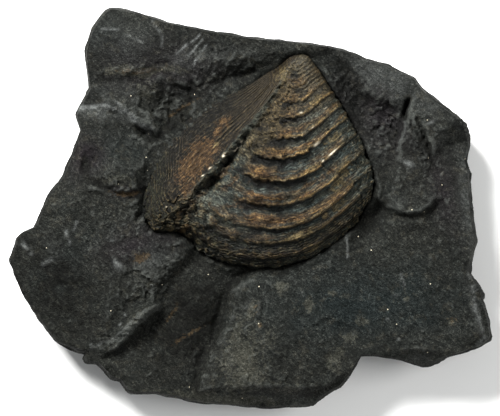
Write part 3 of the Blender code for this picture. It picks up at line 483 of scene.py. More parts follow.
def fractal_at(places, size, octaves=4, shift=0.0):
    """Broken noise with several sizes of lump, the largest about size across."""
    return np.array([noise.fractal(Vector(place) / size + Vector((shift, 0.0, shift)), 0.9, 2.1, octaves)
                     for place in places])


def chips_at(places, size, shift=0.0):
    """Flat chips about size across, each tilted its own way: the rise over one at each place."""
    rise = np.empty(len(places))
    for index, place in enumerate(places):
        spot = Vector(place) / size + Vector((shift, shift, shift))
        centre = noise.voronoi(spot)[1][0]
        tilt = noise.cell_vector(centre * 7.3) - Vector((0.5, 0.5, 0.5))
        rise[index] = 2.0 * size * tilt.dot(spot - centre)
    return rise


def smoothed(grid, times):
    """A grid of values, each blended with its four neighbours a number of times over."""
    for _ in range(times):
        wide = np.pad(grid, 1, mode="edge")
        around = wide[:-2, 1:-1] + wide[2:, 1:-1] + wide[1:-1, :-2] + wide[1:-1, 2:]
        grid = (around + 4.0 * grid) / 8.0
    return grid


def proud_and_hollow(x, y, height, near, far):
    """How far each vertex of a grid stands out of its near surroundings, and lies below its far ones."""
    x, y = np.round(x, 4), np.round(y, 4)
    order = np.lexsort((x, y))
    grid = height[order].reshape(-1, len(np.unique(x)))
    proud, hollow = np.empty(len(x)), np.empty(len(x))
    proud[order] = (grid - smoothed(grid, near)).ravel()
    hollow[order] = (smoothed(grid, far) - grid).ravel()
    return proud, hollow


# ---- slab ----------------------------------------------------------------------------------------------
def slab_height(x, y):
    """Height of the slab's upper face above its underside, without its finer breaks."""
    height = TOP_LEVEL + TOP_SLOPE[0] * x + TOP_SLOPE[1] * y
    for centre, half_length, half_width, turn, rise in LUMPS:
        height += rise * mound(x, y, centre, half_length, half_width, turn)
    for points, half_width, rise in WELTS:
        right, past_line = distance_to_right(x, y, points)
        height += rise * np.exp(-LUMP_FALL * (np.hypot(right, past_line) / half_width) ** 2)
    for points, drop, half_width, reach in SCARPS:
        right, past_line = distance_to_right(x, y, points)
        fade = bell(right, 0.0, reach) * bell(past_line, 0.0, LINE_END_FADE)
        height -= drop * smooth_step(-half_width, half_width, right) * fade
    for size, rise in GRAIN:
        height += rise * noise_at([(px / size, py / size, size) for px, py in zip(x, y)], 1.0)
    for centre, level, fall, steepness, half_length in FACETS:
        down, across = along_and_across(x, y, centre, fall)
        past_end = np.maximum(np.abs(across) - half_length, 0.0)
        height = np.minimum(height, level - steepness * down + FACET_END_RISE * past_end)
    return np.maximum(height, LOWEST_TOP)


def slab_breaks(x, y):
    """The finer, hackly breaks on top of the large forms."""
    places = flat_places(x, y)
    rough = 0.7 + 0.4 * noise_at(places, 16.0, 3.1)
    for centre, half_length, half_width, turn, more in ROUGH_PATCHES:
        rough = rough + more * mound(x, y, centre, half_length, half_width, turn)
    rough = np.maximum(rough, 0.15)
    height = CHIP_TILT * rough * chips_at(places, CHIP_SIZE)
    height += SCALE_TILT * rough * chips_at(places, SCALE_SIZE, 5.0)
    bedding = noise_at(places, 9.0, 8.2) * 2.6 + noise_at(places, 2.6, 1.7) * 0.5
    height += BED_STEP * stepped(bedding)
    height += (0.04 + 0.05 * rough) * fractal_at(places, 2.2, 5, 2.5)
    height += (0.04 + 0.13 * rough) * fractal_at(places, 0.8, 3, 6.5)
    for centre, half_length, half_width, turn, rise in KNOBS:
        height += rise * mound(x, y, centre, half_length, half_width, turn)
    wander_x, wander_y = 0.6 * noise_at(places, 2.4, 31.0), 0.6 * noise_at(places, 2.4, 47.0)
    for points, drop, half_width, reach in SPALLS:
        right, past_line = distance_to_right(x + wander_x, y + wander_y, points)
        fade = bell(right, 0.0, reach) * bell(past_line, 0.0, 1.0)
        height -= drop * (smooth_step(-half_width, half_width, right) - 0.3) * fade
    for points, half_width, _, depth in PALE_LINES + DARK_LINES:
        height -= depth * bell(distance_to_line(x, y, points), 0.0, half_width)
    return height


def lines_at(x, y, places, lines):
    """How strongly a set of lines shows at each place; they come and go along their length."""
    total = np.zeros(len(x))
    for points, half_width, strength, _ in lines:
        total = np.maximum(total, strength * bell(distance_to_line(x, y, points), 0.0, half_width))
    come_and_go = 0.7 + 1.3 * noise_at(places, 1.6, 19.0) + 0.8 * noise_at(places, 0.7, 20.0)
    return total * np.clip(come_and_go, 0.0, 1.0)


def shell_outline():
    """The shell's edge seen from above, as a list of corners."""
    grown = np.linspace(BEAK_GROWTH, 1.0, 60)
    across = np.linspace(-1.0, 1.0, 70)[1:-1]
    edge = [(growth, -1.0) for growth in grown] + [(1.0, place) for place in across]
    edge += [(growth, 1.0) for growth in grown[::-1]]
    x, y = valve_place(np.array([e[0] for e in edge]), np.array([e[1] for e in edge]))
    return list(zip(x.tolist(), y.tolist()))


def drawn_in(level):
    """How far the slab's outline is drawn in at a level."""
    return np.interp(level, [bed[0] for bed in SLAB_BEDS], [bed[1] for bed in SLAB_BEDS])


def nearest_on_line(point, corners):
    """The nearest point to a point on a closed outline."""
    best, nearest = None, math.inf
    for a, b in zip(corners, corners[1:] + corners[:1]):
        run = b - a
        spot = a + run * min(1.0, max(0.0, (point - a).dot(run) / run.length_squared))
        if (spot - point).length < nearest:
            best, nearest = spot, (spot - point).length
    return best


def swayed(values, places, shift):
    """One coordinate of each place, moved a little this way and that."""
    (wide_reach, wide), (fine_reach, fine) = WIDE_SWAY, FINE_SWAY
    values = values + wide_reach * noise_at(places, wide, shift)
    return values + fine_reach * noise_at(places, fine, shift + 2.0)


def make_slab():
    """The slab: a fine sheet trimmed to the outline, drawn down through the beds to a flat underside."""
    mesh = bmesh.new()
    columns, rows = (round(2 * half / SLAB_SPACING) for half in SHEET_HALF_SIZE)
    bmesh.ops.create_grid(mesh, x_segments=columns, y_segments=rows, size=1.0)
    bmesh.ops.scale(mesh, vec=(*SHEET_HALF_SIZE, 1.0), verts=mesh.verts)
    rim_line = [(x * RIM_SHARE, y * RIM_SHARE) for x, y in SLAB_OUTLINE]
    depth = shape_upper_face(mesh, rim_line)
    trim_to_rim(mesh, depth, rim_line)
    draw_down_sides(mesh)
    return mesh


def shape_upper_face(mesh, rim_line):
    """Raise a flat sheet to the slab's upper face, and set its marks.

    What comes back is how far each vertex lies inside the rim.
    """
    place = np.array([vert.co for vert in mesh.verts])
    flat_x, flat_y = place[:, 0], place[:, 1]
    depth = depth_inside(flat_x, flat_y, rim_line)
    shell = depth_inside(flat_x, flat_y, shell_outline())
    growth, across = place_on_valve(flat_x, flat_y)
    lap = smooth_step(*LAP_START, growth) * smooth_step(*LAP_FADE, growth) * smooth_step(*LAP_END, across)
    beside = lap * smooth_step(*LAP_REACH, across)
    places = flat_places(flat_x, flat_y)
    x, y = swayed(flat_x, places, 91.0), swayed(flat_y, places, 95.0)
    places = flat_places(x, y)

    height = slab_height(x, y)
    area, _ = valve_height(np.clip(growth, 0.0, 1.0), np.clip(across, -1.0, 0.0), 0.0, 1.0)
    lapping = area + LAP_PROUD + 0.5 * noise_at(places, 2.4, 61.0) + 0.25 * noise_at(places, 0.9, 63.0)
    lapping -= LAP_SINK * smooth_step(-1.05, LAP_END[1], across)
    height += (lapping - height) * beside
    height += slab_breaks(x, y) * smooth_step(-RIM_FADE, RIM_FADE, depth)
    proud, hollow = proud_and_hollow(flat_x, flat_y, height, *SLAB_BLURS)
    crevice = np.exp(-(np.minimum(shell, 0.0) / CREVICE_WIDTH) ** 2) * (1.0 - beside)
    height -= CREVICE_DEPTH * crevice * np.clip(1.0 + 0.8 * noise_at(places, 3.0, 27.0), 0.0, 1.5)
    height = height + (SHELL_SOCKET - height) * smooth_step(0.05, 0.7, shell) * (1.0 - lap)
    for vert, level in zip(mesh.verts, height):
        vert.co.z = level

    marks = patch_marks(places, SLAB_PATCHES)
    marks["pale"] = np.maximum(marks["pale"], lines_at(x, y, places, PALE_LINES))
    # Painted shade in the crevice round the shell, added to dark patches and seams that are partly dirt and
    # partly painted shade
    marks["dirt_and_shade"] = marks["dirt_and_shade"] + 0.35 * crevice + lines_at(x, y, places, DARK_LINES)
    marks = {name: np.clip(values, 0.0, 1.0) for name, values in marks.items()}
    set_marks(mesh, {**marks, "proud": proud * smooth_step(0.5, 5.0, depth), "hollow": hollow})
    return depth


def trim_to_rim(mesh, depth, rim_line):
    """Cut the sheet off outside the rim, and draw the edge that is left out to it."""
    outside = [vert for vert, inside in zip(mesh.verts, depth) if inside < 0.3 * SLAB_SPACING]
    bmesh.ops.delete(mesh, geom=outside, context="VERTS")
    spurs = [vert for vert in mesh.verts if len(vert.link_faces) == 1]
    bmesh.ops.delete(mesh, geom=spurs, context="VERTS")
    corners = [Vector(corner) for corner in rim_line]
    for vert in mesh.verts:
        if vert.is_boundary:
            vert.co.xy = nearest_on_line(vert.co.xy, corners)


def draw_down_sides(mesh):
    """Extrude the rim down row by row through the beds, and close it with the flat underside."""
    rim = [edge for edge in mesh.edges if edge.is_boundary]
    layers = list(mesh.verts.layers.float.values())
    side = mesh.verts.layers.float.new("side")
    tops = {}
    for row in range(1, SIDE_ROWS + 1):
        raised = bmesh.ops.extrude_edge_only(mesh, edges=rim)["geom"]
        rim = [part for part in raised if isinstance(part, bmesh.types.BMEdge)]
        for vert in (part for part in raised if isinstance(part, bmesh.types.BMVert)):
            lower_side_row(vert, tops, row)
            for layer in layers:
                vert[layer] *= SIDE_FADE
            vert[side] = 1.0
    bmesh.ops.holes_fill(mesh, edges=rim, sides=0)
    bmesh.ops.recalc_face_normals(mesh, faces=mesh.faces)


def lower_side_row(vert, tops, row):
    """Move a vertex of the side down to its row, and in or out to where that row's bed lies."""
    above = (round(vert.co.x, 5), round(vert.co.y, 5), round(vert.co.z, 5))
    top = tops.pop(above, None) or vert.co.copy()
    level = top.z * (1.0 - row / SIDE_ROWS)
    out = top.xy / drawn_in(RIM_LEVEL)
    share = drawn_in(level)
    if row < SIDE_ROWS:
        for length, thickness, bite in SIDE_BREAKS:
            place = Vector((out.x / length, out.y / length, level / thickness))
            share -= bite * (SIDE_BIAS + noise.noise(place))
    vert.co = (out.x * share, out.y * share, level)
    tops[(round(vert.co.x, 5), round(vert.co.y, 5), round(vert.co.z, 5))] = top


# ---- shell ---------------------------------------------------------------------------------------------
def valve_place(growth, across):
    """X and Y on the shell. across is -1 at the hinge edge, 0 at the carina and 1 at the front edge."""
    carina = smooth_curve(growth, CARINA)
    edge = np.where(across < 0, smooth_curve(growth, HINGE_EDGE), smooth_curve(growth, FRONT_EDGE))
    direction = carina + np.abs(across) * (edge - carina)
    reach = growth * VALVE_REACH * smooth_curve(direction, GROWTH_LINE)
    angle = np.radians(direction)
    return UMBO[0] + reach * np.sin(angle), UMBO[1] - reach * np.cos(angle)


def place_on_valve(x, y):
    """Growth and place across of each (x, y), the reverse of valve_place(). They run on outside."""
    direction = np.degrees(np.arctan2(x - UMBO[0], UMBO[1] - y))
    growth = np.hypot(x - UMBO[0], y - UMBO[1]) / (VALVE_REACH * smooth_curve(direction, GROWTH_LINE))
    carina = smooth_curve(growth, CARINA)
    edge = np.where(direction < carina, smooth_curve(growth, HINGE_EDGE), smooth_curve(growth, FRONT_EDGE))
    return growth, (direction - carina) / np.abs(edge - carina)


def ribs_at(growth, across):
    """The stepped ribs: height, nearness to a crest that is worn and given a painted highlight, the slope
    up to it, and the painted shade on the step below it.

    Behind the middle of the flank they are broad and lumpy, and in front of it thin and sharp.
    """
    relief, crest_line, slope, step = (np.zeros(growth.shape) for _ in range(4))
    lumpy = 1.0 - smooth_step(*LUMPY_RIBS, across)
    starts = (FIRST_RIB_START,) + RIB_CRESTS[:-1]
    for start, crest, height, shine in zip(starts, RIB_CRESTS, RIB_HEIGHTS, RIB_SHINE):
        gap = crest - start
        broad = smooth_step(start + 0.28 * gap, start + 0.68 * gap, growth)
        thin = smooth_step(start + 0.60 * gap, start + 0.96 * gap, growth)
        thin = 0.4 * smooth_step(start + 0.1 * gap, start + 0.8 * gap, growth) + 0.6 * thin
        drop = 1.0 - smooth_step(crest, crest + RIB_DROP, growth)
        relief += height * (lumpy * broad + (1.0 - lumpy) * thin) * drop
        worn_slope = smooth_step(start + 0.35 * gap, start + 0.92 * gap, growth)
        slope += (lumpy * broad + (1.0 - lumpy) * worn_slope) * drop
        crest_line += 1.15 * shine * bell(growth, crest - 0.005, 0.005) * (1.0 - 0.65 * lumpy)
        # painted shade on the step below each crest
        step += bell(growth, crest + 0.010 + 0.009 * lumpy, 0.004 + 0.010 * lumpy) * min(1.0, 1.6 * height)
    return relief, crest_line, slope, step


def valve_height(growth, across, ribs, groove):
    """Height of the shell's outer face without its finer relief, and how fully each place is ribbed.

    ribs is the height of the ribs, and groove how open the groove in front of the carina is.
    """
    crown = np.sin(math.pi * np.clip(growth, 0.0, 1.0) ** CROWN_PLACE) ** CROWN_FULLNESS
    carina_crown = crown + CARINA_AT_MARGIN * growth * (1.0 - crown)
    front, back = np.clip(across, 0.0, 1.0), np.clip(-across, 0.0, 1.0)
    flank = crown * (1.0 - front ** FRONT_TURN) ** FRONT_STEEPNESS
    area = carina_crown * (1.0 - back) ** AREA_FALL
    height = VALVE_INFLATION * np.where(across >= 0, flank, area)

    before_margin = 1.0 - smooth_step(0.86, 1.0, growth)
    place, rise, half_width = CARINA_RIDGE
    height += rise * smooth_step(0.08, 0.4, growth) * before_margin * bell(across, place, half_width)
    place, depth, half_width = CARINA_GROOVE
    groove = groove * smooth_step(0.28, 0.55, growth) * before_margin
    height -= groove * depth * bell(across, place, half_width)
    place, depth, half_width = HIND_SAG
    height -= depth * smooth_step(0.5, 0.75, growth) * bell(across, place, half_width)

    rib_end = smooth_curve(growth, RIB_ENDS)
    ribbed = smooth_step(rib_end, rib_end + RIB_END_LENGTH, across)
    ribbed = np.maximum(ribbed, 0.4 * smooth_step(0.74, 0.82, growth) * smooth_step(0.06, 0.14, across))
    ribbed *= 1.0 - 0.35 * smooth_step(0.45, 0.7, across) - 0.3 * smooth_step(0.9, 1.0, across)
    return MARGIN_LEVEL + np.maximum(height + ribs * ribbed, 0.0), ribbed


def area_striae(growth, across, places):
    """The area's fine ribs: a fan from the beak that gives way to growth lines at the hind end."""
    bend = across + 0.03 * noise_at(places, 5.0, 4.0) + 0.014 * noise_at(places, 1.5, 6.0)
    fan = np.cos(2 * math.pi * AREA_STRIAE * bend)
    split = smooth_step(0.6, 0.8, growth)
    fan = (1.0 - 0.6 * split) * fan + 0.7 * split * np.cos(4 * math.pi * AREA_STRIAE * bend)
    late = growth + 0.10 * np.clip(-across, 0, 1) + 0.06 * noise_at(places, 6.0, 3.0)
    hind = smooth_step(0.74, 0.86, late)
    bent = growth + 0.008 * noise_at(places, 3.0, 5.0) + 0.006 * noise_at(places, 1.0, 15.0)
    lines = np.cos(1.4 * math.pi * bent / GROWTH_STRIA) * (0.6 + 0.9 * noise_at(places, 1.4, 18.0))
    bundle = noise_at([(7.0 * place, 2.5 * grown, 0.0) for place, grown in zip(across, growth)], 1.0, 5.0)
    fan *= np.clip(0.65 + 1.3 * bundle, 0.0, 1.2)
    here = smooth_step(0.04, 0.12, growth) * (1.0 - smooth_step(-0.1, -0.03, across))
    return (fan * (1.0 - hind) + lines * hind) * here


def blotches(places, patches, size, shift):
    """How strongly a set of patches shows at each place, with broken edges."""
    x, y = np.array([place[0] for place in places]), np.array([place[1] for place in places])
    total = np.zeros(len(x))
    for centre, half_length, half_width, turn, strength in patches:
        total = np.maximum(total, strength * mound(x, y, centre, half_length, half_width, turn))
    broken = 1.0 + 0.7 * fractal_at(places, size, 4, shift)
    return np.clip(total * broken, 0.0, 1.0)


def patch_marks(places, groups):
    """A mark from 0 to 1 for each group of patches."""
    return {name: blotches(places, patches, size, shift) for name, (size, shift, patches) in groups.items()}


def roughen_outline(x, y, growth, across, places):
    """Draw the shell's edge in unevenly, and shift what is broken loose along the carina to and fro."""
    edge = np.maximum(smooth_step(0.94, 1.0, growth), smooth_step(0.93, 1.0, across)) * (across > -0.8)
    uneven = 1.0 + 1.6 * noise_at(places, 2.2, 51.0) + noise_at(places, 0.9, 53.0)
    share = 1.0 - EDGE_DRAWN_IN * edge * smooth_step(0.1, 0.3, growth) * uneven
    x, y = ((value - middle) * share + middle for value, middle in zip((x, y), SHELL_MIDDLE))
    loose = CARINA_LOOSENESS * bell(across, 0.0, 0.07) * smooth_step(0.2, 0.5, growth)
    loose *= (1.0 - smooth_step(0.95, 1.0, growth)) * (1.0 + 1.4 * smooth_step(*GAPE_END, growth))
    x = x + loose * (noise_at(places, 2.6, 81.0) + 0.7 * noise_at(places, 0.9, 83.0))
    y = y + loose * (noise_at(places, 2.6, 85.0) + 0.7 * noise_at(places, 0.9, 87.0))
    return x, y


def shell_zones(growth, across, places):
    """Where the shell's kinds of surface lie, each as a value from 0 to about 1."""
    zone = SimpleNamespace()
    zone.area = 1.0 - smooth_step(-0.05, -0.005, across)
    zone.behind = 1.0 - smooth_step(0.30, 0.65, across)
    zone.front_edge = smooth_step(0.82, 0.90, across) * smooth_step(0.40, 0.6, growth)
    zone.hind_end = smooth_step(0.86, 0.96, growth) * bell(across, -0.15, 0.4)
    zone.margin = smooth_step(0.86, 0.95, growth) * smooth_step(0.0, 0.2, across)
    zone.tip = smooth_step(0.77, 0.85, growth) * bell(across, -0.03, 0.2)
    zone.beak = smooth_step(0.02, 0.05, growth) * (1.0 - smooth_step(0.17, 0.24, growth))
    zone.broken_carina = bell(across, 0.012, 0.04) * smooth_step(0.06, 0.25, growth)
    zone.broken_carina *= 1.0 - 0.8 * smooth_step(0.76, 0.84, growth)
    zone.crumbly = smooth_step(0.02, 0.06, across) * (1.0 - smooth_step(0.22, 0.42, across))
    zone.crumbly *= smooth_step(0.08, 0.2, growth) * (1.0 - smooth_step(0.45, 0.62, growth))
    opened = 0.5 + 1.4 * noise_at(places, 3.4, 41.0) + 0.9 * noise_at(places, 1.2, 43.0)
    zone.gape = (1.0 - smooth_step(*GAPE_END, growth)) * np.clip(opened, 0.05, 1.15)

    crack = smooth_curve(growth, CRACK)
    zone.beyond_crack = smooth_step(-0.004, 0.004, across - crack) * smooth_step(0.4, 0.47, growth)
    zone.crack = bell(across, crack, 0.0045) * smooth_step(0.42, 0.5, growth)
    zone.crack *= np.clip(0.7 + 1.2 * noise_at(places, 2.0, 45.0), 0.1, 1.0)
    zone.crack *= 1.0 - smooth_step(0.93, 0.97, growth)
    return zone


def shell_relief(growth, across, x, y, places, zone):
    """Height of the shell's outer face with all its relief, and the parts of it that the marks follow."""
    relief = SimpleNamespace()
    wander = 0.006 * noise_at(places, 4.5, 2.0) + (0.003 + 0.009 * zone.behind) * noise_at(places, 1.6, 6.0)
    wander += (0.0015 + 0.005 * zone.behind) * noise_at(places, 0.7, 8.0)
    relief.grown = growth + wander
    rib_growth = relief.grown + CRACK_SHIFT * zone.beyond_crack
    ribs, relief.crest, relief.slope, relief.step = ribs_at(rib_growth, across)
    uneven = noise_at(places, 3.4, 9.0) + 0.25 * noise_at(places, 1.4, 3.0)
    relief.unbroken = np.clip(1.0 + (0.45 + 0.85 * zone.behind) * uneven, 0.0, 1.7)
    height, relief.ribbed = valve_height(growth, across, ribs * relief.unbroken, zone.gape)

    stria = area_striae(growth, across, places)
    kept = smooth_step(-0.5, 0.3, noise_at(places, 4.0, 21.0) + 0.5 * noise_at(places, 1.2, 22.0))
    relief.stria = stria * kept
    height += STRIA_HEIGHT * stria * (0.35 + 0.65 * kept)
    relief.lines = np.cos(2 * math.pi * relief.grown / GROWTH_STRIA) * (1.0 - zone.area)
    relief.lines *= 1.0 + 1.2 * noise_at(places, 2.4, 37.0)
    height += GROWTH_STRIA_HEIGHT * relief.lines * (0.8 * smooth_step(0.80, 0.90, growth) + 0.2)
    height -= CRACK_DROP * zone.beyond_crack
    height -= CRACK_DEPTH * zone.crack
    for centre, half_length, half_width, turn, rise in SHELL_BOSSES:
        height += rise * mound(x, y, centre, half_length, half_width, turn)

    edges = (zone.front_edge, zone.hind_end, zone.margin)
    flaked = sum(rise * edge for rise, edge in zip(FLAKE_HEIGHTS, edges))
    height += flaked * stepped(noise_at(places, 2.6, 12.0) * 3.5 + noise_at(places, 0.9, 13.0) * 0.8)
    rocky = noise_at(places, 1.5, 11.0) + 1.6 * chips_at(places, 1.3, 17.0)
    height += 0.6 * zone.broken_carina * rocky
    height += zone.crumbly * (0.45 * noise_at(places, 1.6, 33.0) + 0.35 * chips_at(places, 0.9, 35.0))
    height += zone.tip * (1.3 * noise_at(places, 1.8, 73.0) + 0.7 * chips_at(places, 1.4, 75.0))
    late = smooth_step(0.76, 0.84, growth) * (1.0 - smooth_step(0.93, 1.0, growth))
    height += HIND_LEDGE * late * bell(across, 0.1, 0.09)
    height += BEAK_WRINKLE_HEIGHT * zone.beak * np.cos(2 * math.pi * relief.grown / BEAK_WRINKLE)
    height -= HOLE_DEPTH * mound(x, y, *HOLE, 0.0)
    fine = 0.20 * fractal_at(places, 1.5, 5, 1.0) + 0.15 * chips_at(places, 1.0, 4.0)
    height += (1.0 - 0.4 * zone.area) * fine + 0.18 * noise_at(places, 3.5, 7.0)
    height = np.maximum(height, LOWEST_MARGIN)
    over = np.maximum(height - HIGHEST_CROWN, 0.0)
    return height + (CROWN_EASE * np.tanh(over / CROWN_EASE) - over), relief


def shell_marks(growth, across, x, y, places, zone, relief):
    """Where the shell's colours and finishes go."""
    marks = patch_marks(places, SHELL_PATCHES)
    worn = 0.5 + 1.5 * noise_at(places, 2.4, 14.0) + 0.8 * fractal_at(places, 0.9, 3, 3.0)
    # gash: painted shade in the open gape in front of the carina
    gash = bell(across, 0.034, 0.020) * np.clip(zone.gape, 0.0, 1.0) * smooth_step(0.40, 0.52, growth)
    gash *= (1.0 - smooth_step(0.88, 0.96, growth)) * (1.0 - smooth_step(*GAPE_END, growth))
    in_front = 1.0 - 0.8 * zone.front_edge
    sooty = zone.behind * smooth_step(0.0, 0.35, noise_at(places, 2.8, 23.0)) * relief.ribbed
    soot = np.maximum(marks.pop("soot"), sooty)
    soot *= 1.0 - 0.55 * np.clip(relief.slope * relief.ribbed, 0.0, 1.0)
    outer = smooth_step(-0.2, -0.7, across + 0.15 * noise_at(places, 4.0, 71.0))
    near_beak = 1.0 - smooth_step(0.2, 0.5, growth + 0.05 * noise_at(places, 3.0, 15.0))
    late = growth + 0.03 * noise_at(places, 4.0, 16.0) - 0.04 * smooth_step(0.5, 0.8, across)
    return {**marks,
            # crest: worn crests, with a painted highlight
            "crest": relief.crest * relief.ribbed * np.clip(worn, 0.0, 1.0) * in_front,
            "slope": np.clip(relief.slope * relief.ribbed * in_front * relief.unbroken, 0.0, 1.0),
            "area": zone.area, "behind": zone.behind, "stria": relief.stria,
            "outer": np.maximum(outer, 0.8 - 0.8 * smooth_step(0.2, 0.45, growth)),
            "crumbly": np.clip(zone.crumbly + 0.8 * zone.tip, 0.0, 1.0),
            "along": np.where(across < 0, VALVE_REACH * growth, FLANK_WIDTH * across) * MM / STREAK_STRETCH,
            "over": np.where(across < 0, AREA_WIDTH * across, VALVE_REACH * relief.grown) * MM,
            # dirt_and_shade: painted shade in the gape, on the steps below the crests and in the hole, with
            # real soot and the dark crack
            "dirt_and_shade": np.clip(0.85 * gash + 0.85 * relief.step * relief.ribbed + zone.crack + soot
                            + mound(x, y, *HOLE, 0.0), 0.0, 1.0),
            "rocky": np.clip(1.6 * zone.broken_carina, 0.0, 1.0),
            "umbo": (1.0 - 0.6 * zone.area) * near_beak,
            "margin": (0.95 - 0.2 * relief.lines) * smooth_step(0.80, 0.90, late)}


def make_shell():
    """The shell: a fine sheet laid out by growth and place across, closed down to its flat bed."""
    mesh = bmesh.new()
    bmesh.ops.create_grid(mesh, x_segments=ACROSS_COLUMNS, y_segments=GROWTH_ROWS, size=1.0)
    flat = np.array([vert.co for vert in mesh.verts])
    across = flat[:, 0].astype(float)
    growth = BEAK_GROWTH + (1.0 - BEAK_GROWTH) * ((1.0 - flat[:, 1]) / 2.0)
    x, y = valve_place(growth, across)
    places = flat_places(x, y)
    x, y = roughen_outline(x, y, growth, across, places)
    zone = shell_zones(growth, across, places)
    height, relief = shell_relief(growth, across, x, y, places, zone)
    for vert, px, py, pz in zip(mesh.verts, x, y, height):
        vert.co = (px, py, pz)
    proud, hollow = proud_and_hollow(flat[:, 0], flat[:, 1], height, *SHELL_BLURS)
    marks = shell_marks(growth, across, x, y, places, zone, relief)
    set_marks(mesh, {**marks, "proud": proud, "hollow": hollow})
    close_downwards(mesh, VALVE_BED)
    return mesh


def set_marks(mesh, marks):
    """Store each mark on the mesh's vertices, for the material to read."""
    for name, values in marks.items():
        layer = mesh.verts.layers.float.new(name)
        for vert, value in zip(mesh.verts, values):
            vert[layer] = value


# ---- pieces --------------------------------------------------------------------------------------------
def close_downwards(mesh, level):
    """Close an open sheet with a wall from its rim down to a flat face at the given level."""
    wall = bmesh.ops.extrude_edge_only(mesh, edges=[edge for edge in mesh.edges if edge.is_boundary])
    for vert in (part for part in wall["geom"] if isinstance(part, bmesh.types.BMVert)):
        vert.co.z = level
    bmesh.ops.holes_fill(mesh, edges=[edge for edge in mesh.edges if edge.is_boundary], sides=0)
    bmesh.ops.recalc_face_normals(mesh, faces=mesh.faces)


def add_piece(name, mesh, material, node):
    """Turn a bmesh in millimetres into a piece that stands for a node of the frame."""
    bmesh.ops.scale(mesh, vec=(MM, MM, MM), verts=mesh.verts)
    data = bpy.data.meshes.new(name)
    mesh.to_mesh(data)
    mesh.free()
    data.materials.append(material)
    data.shade_smooth()
    data.set_sharp_from_angle(angle=math.radians(50))
    piece = bpy.data.objects.new(name, data)
    bpy.context.scene.collection.objects.link(piece)
    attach(piece, "root")
    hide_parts(node)


# ---- materials -----------------------------------------------------------------------------------------
def linear(hex_colour):
    """An sRGB hex colour as linear red, green, blue and alpha."""
    channels = [int(hex_colour[i:i + 2], 16) / 255 for i in (1, 3, 5)]
    return [c / 12.92 if c <= 0.04045 else ((c + 0.055) / 1.055) ** 2.4 for c in channels] + [1.0]


def add_node(tree, kind, settings=None, links=None):
    """Add a node, set its properties and unlinked inputs, and link its inputs to other nodes' outputs."""
    node = tree.nodes.new(kind)
    for name, value in (settings or {}).items():
        if isinstance(name, str) and hasattr(node, name):
            setattr(node, name, value)
        else:
            node.inputs[name].default_value = value
    for name, output in (links or {}).items():
        tree.links.new(output, node.inputs[name])
    return node


def new_material(name):
    """A material that is ready for nodes, with its tree and its shader."""
    material = bpy.data.materials.new(name)
    material.use_nodes = True
    return material, material.node_tree, material.node_tree.nodes["Principled BSDF"]


def add_ramp(tree, factor, *stops):
    """A colour ramp through (position, hex colour) stops."""
    ramp = add_node(tree, "ShaderNodeValToRGB", {}, {"Fac": factor})
    elements = ramp.color_ramp.elements
    while len(elements) < len(stops):
        elements.new(1.0)
    for element, (position, colour) in zip(elements, stops):
        element.position, element.color = position, linear(colour)
    return ramp.outputs["Color"]


def add_mix(tree, factor, below, above, blend="MIX"):
    """Colour above over colour below; either may be a hex colour or another node's output."""
    settings = {"data_type": "RGBA", "blend_type": blend, "clamp_factor": True}
    node = add_node(tree, "ShaderNodeMix", settings)
    for socket, value in ((node.inputs[0], factor), (node.inputs[6], below), (node.inputs[7], above)):
        if isinstance(value, bpy.types.NodeSocket):
            tree.links.new(value, socket)
        else:
            socket.default_value = linear(value) if isinstance(value, str) else value
    return node.outputs[2]


def add_sum(tree, operation, first, second):
    """Arithmetic on two values; either may be a number or another node's output."""
    node = add_node(tree, "ShaderNodeMath", {"operation": operation, "use_clamp": True})
    for socket, value in zip(node.inputs, (first, second)):
        if isinstance(value, bpy.types.NodeSocket):
            tree.links.new(value, socket)
        else:
            socket.default_value = value
    return node.outputs[0]


def mark(tree, name):
    """One of the marks that set_marks() laid on the mesh."""
    return add_node(tree, "ShaderNodeAttribute", {"attribute_name": name}).outputs["Fac"]


def grain(tree, place, width_mm, detail=5.0, roughness=0.6):
    """Noise whose lumps are about width_mm across."""
    settings = {"Scale": 1.0 / (width_mm * MM), "Detail": detail, "Roughness": roughness}
    return add_node(tree, "ShaderNodeTexNoise", settings, {"Vector": place}).outputs["Fac"]


def speckled(tree, place, scales, detail=5.0):
    """Noise of several sizes, given as (width in mm, share), added up."""
    total = None
    for width, share in scales:
        layer = grain(tree, place, width, detail)
        total = layer if total is None else add_mix(tree, share, total, layer)
    return total


def broken(tree, name, place, width_mm):
    """A mark with edges broken up by noise about width_mm across; where the mark is nil, so is this."""
    half = add_sum(tree, "MULTIPLY", mark(tree, name), 0.5)
    edge = add_sum(tree, "ADD", half, grain(tree, place, width_mm))
    edge = add_ramp(tree, edge, (0.58, "#000000"), (0.74, "#FFFFFF"))
    return add_sum(tree, "MULTIPLY", edge, add_sum(tree, "MULTIPLY", mark(tree, name), 6.0))


def streaks(tree, width_mm, detail=2.0):
    """Noise about width_mm wide, drawn out along the shell's growth lines or along the fan of the area."""
    flow = add_node(tree, "ShaderNodeCombineXYZ", {}, {"X": mark(tree, "along"), "Y": mark(tree, "over")})
    return grain(tree, flow.outputs[0], width_mm, detail)


def lay_over(tree, below, factor, share, tone, *stops):
    """A ramp of the tone, laid over the colour below as far as the factor and the share say."""
    return add_mix(tree, add_sum(tree, "MULTIPLY", factor, share), below, add_ramp(tree, tone, *stops))


def level_mark(tree, name, low, high):
    """A mark stretched so that it runs from 0 at the low value to 1 at the high one."""
    settings = {"From Min": low, "From Max": high}
    node = add_node(tree, "ShaderNodeMapRange", settings, {"Value": mark(tree, name)})
    return node.outputs["Result"]


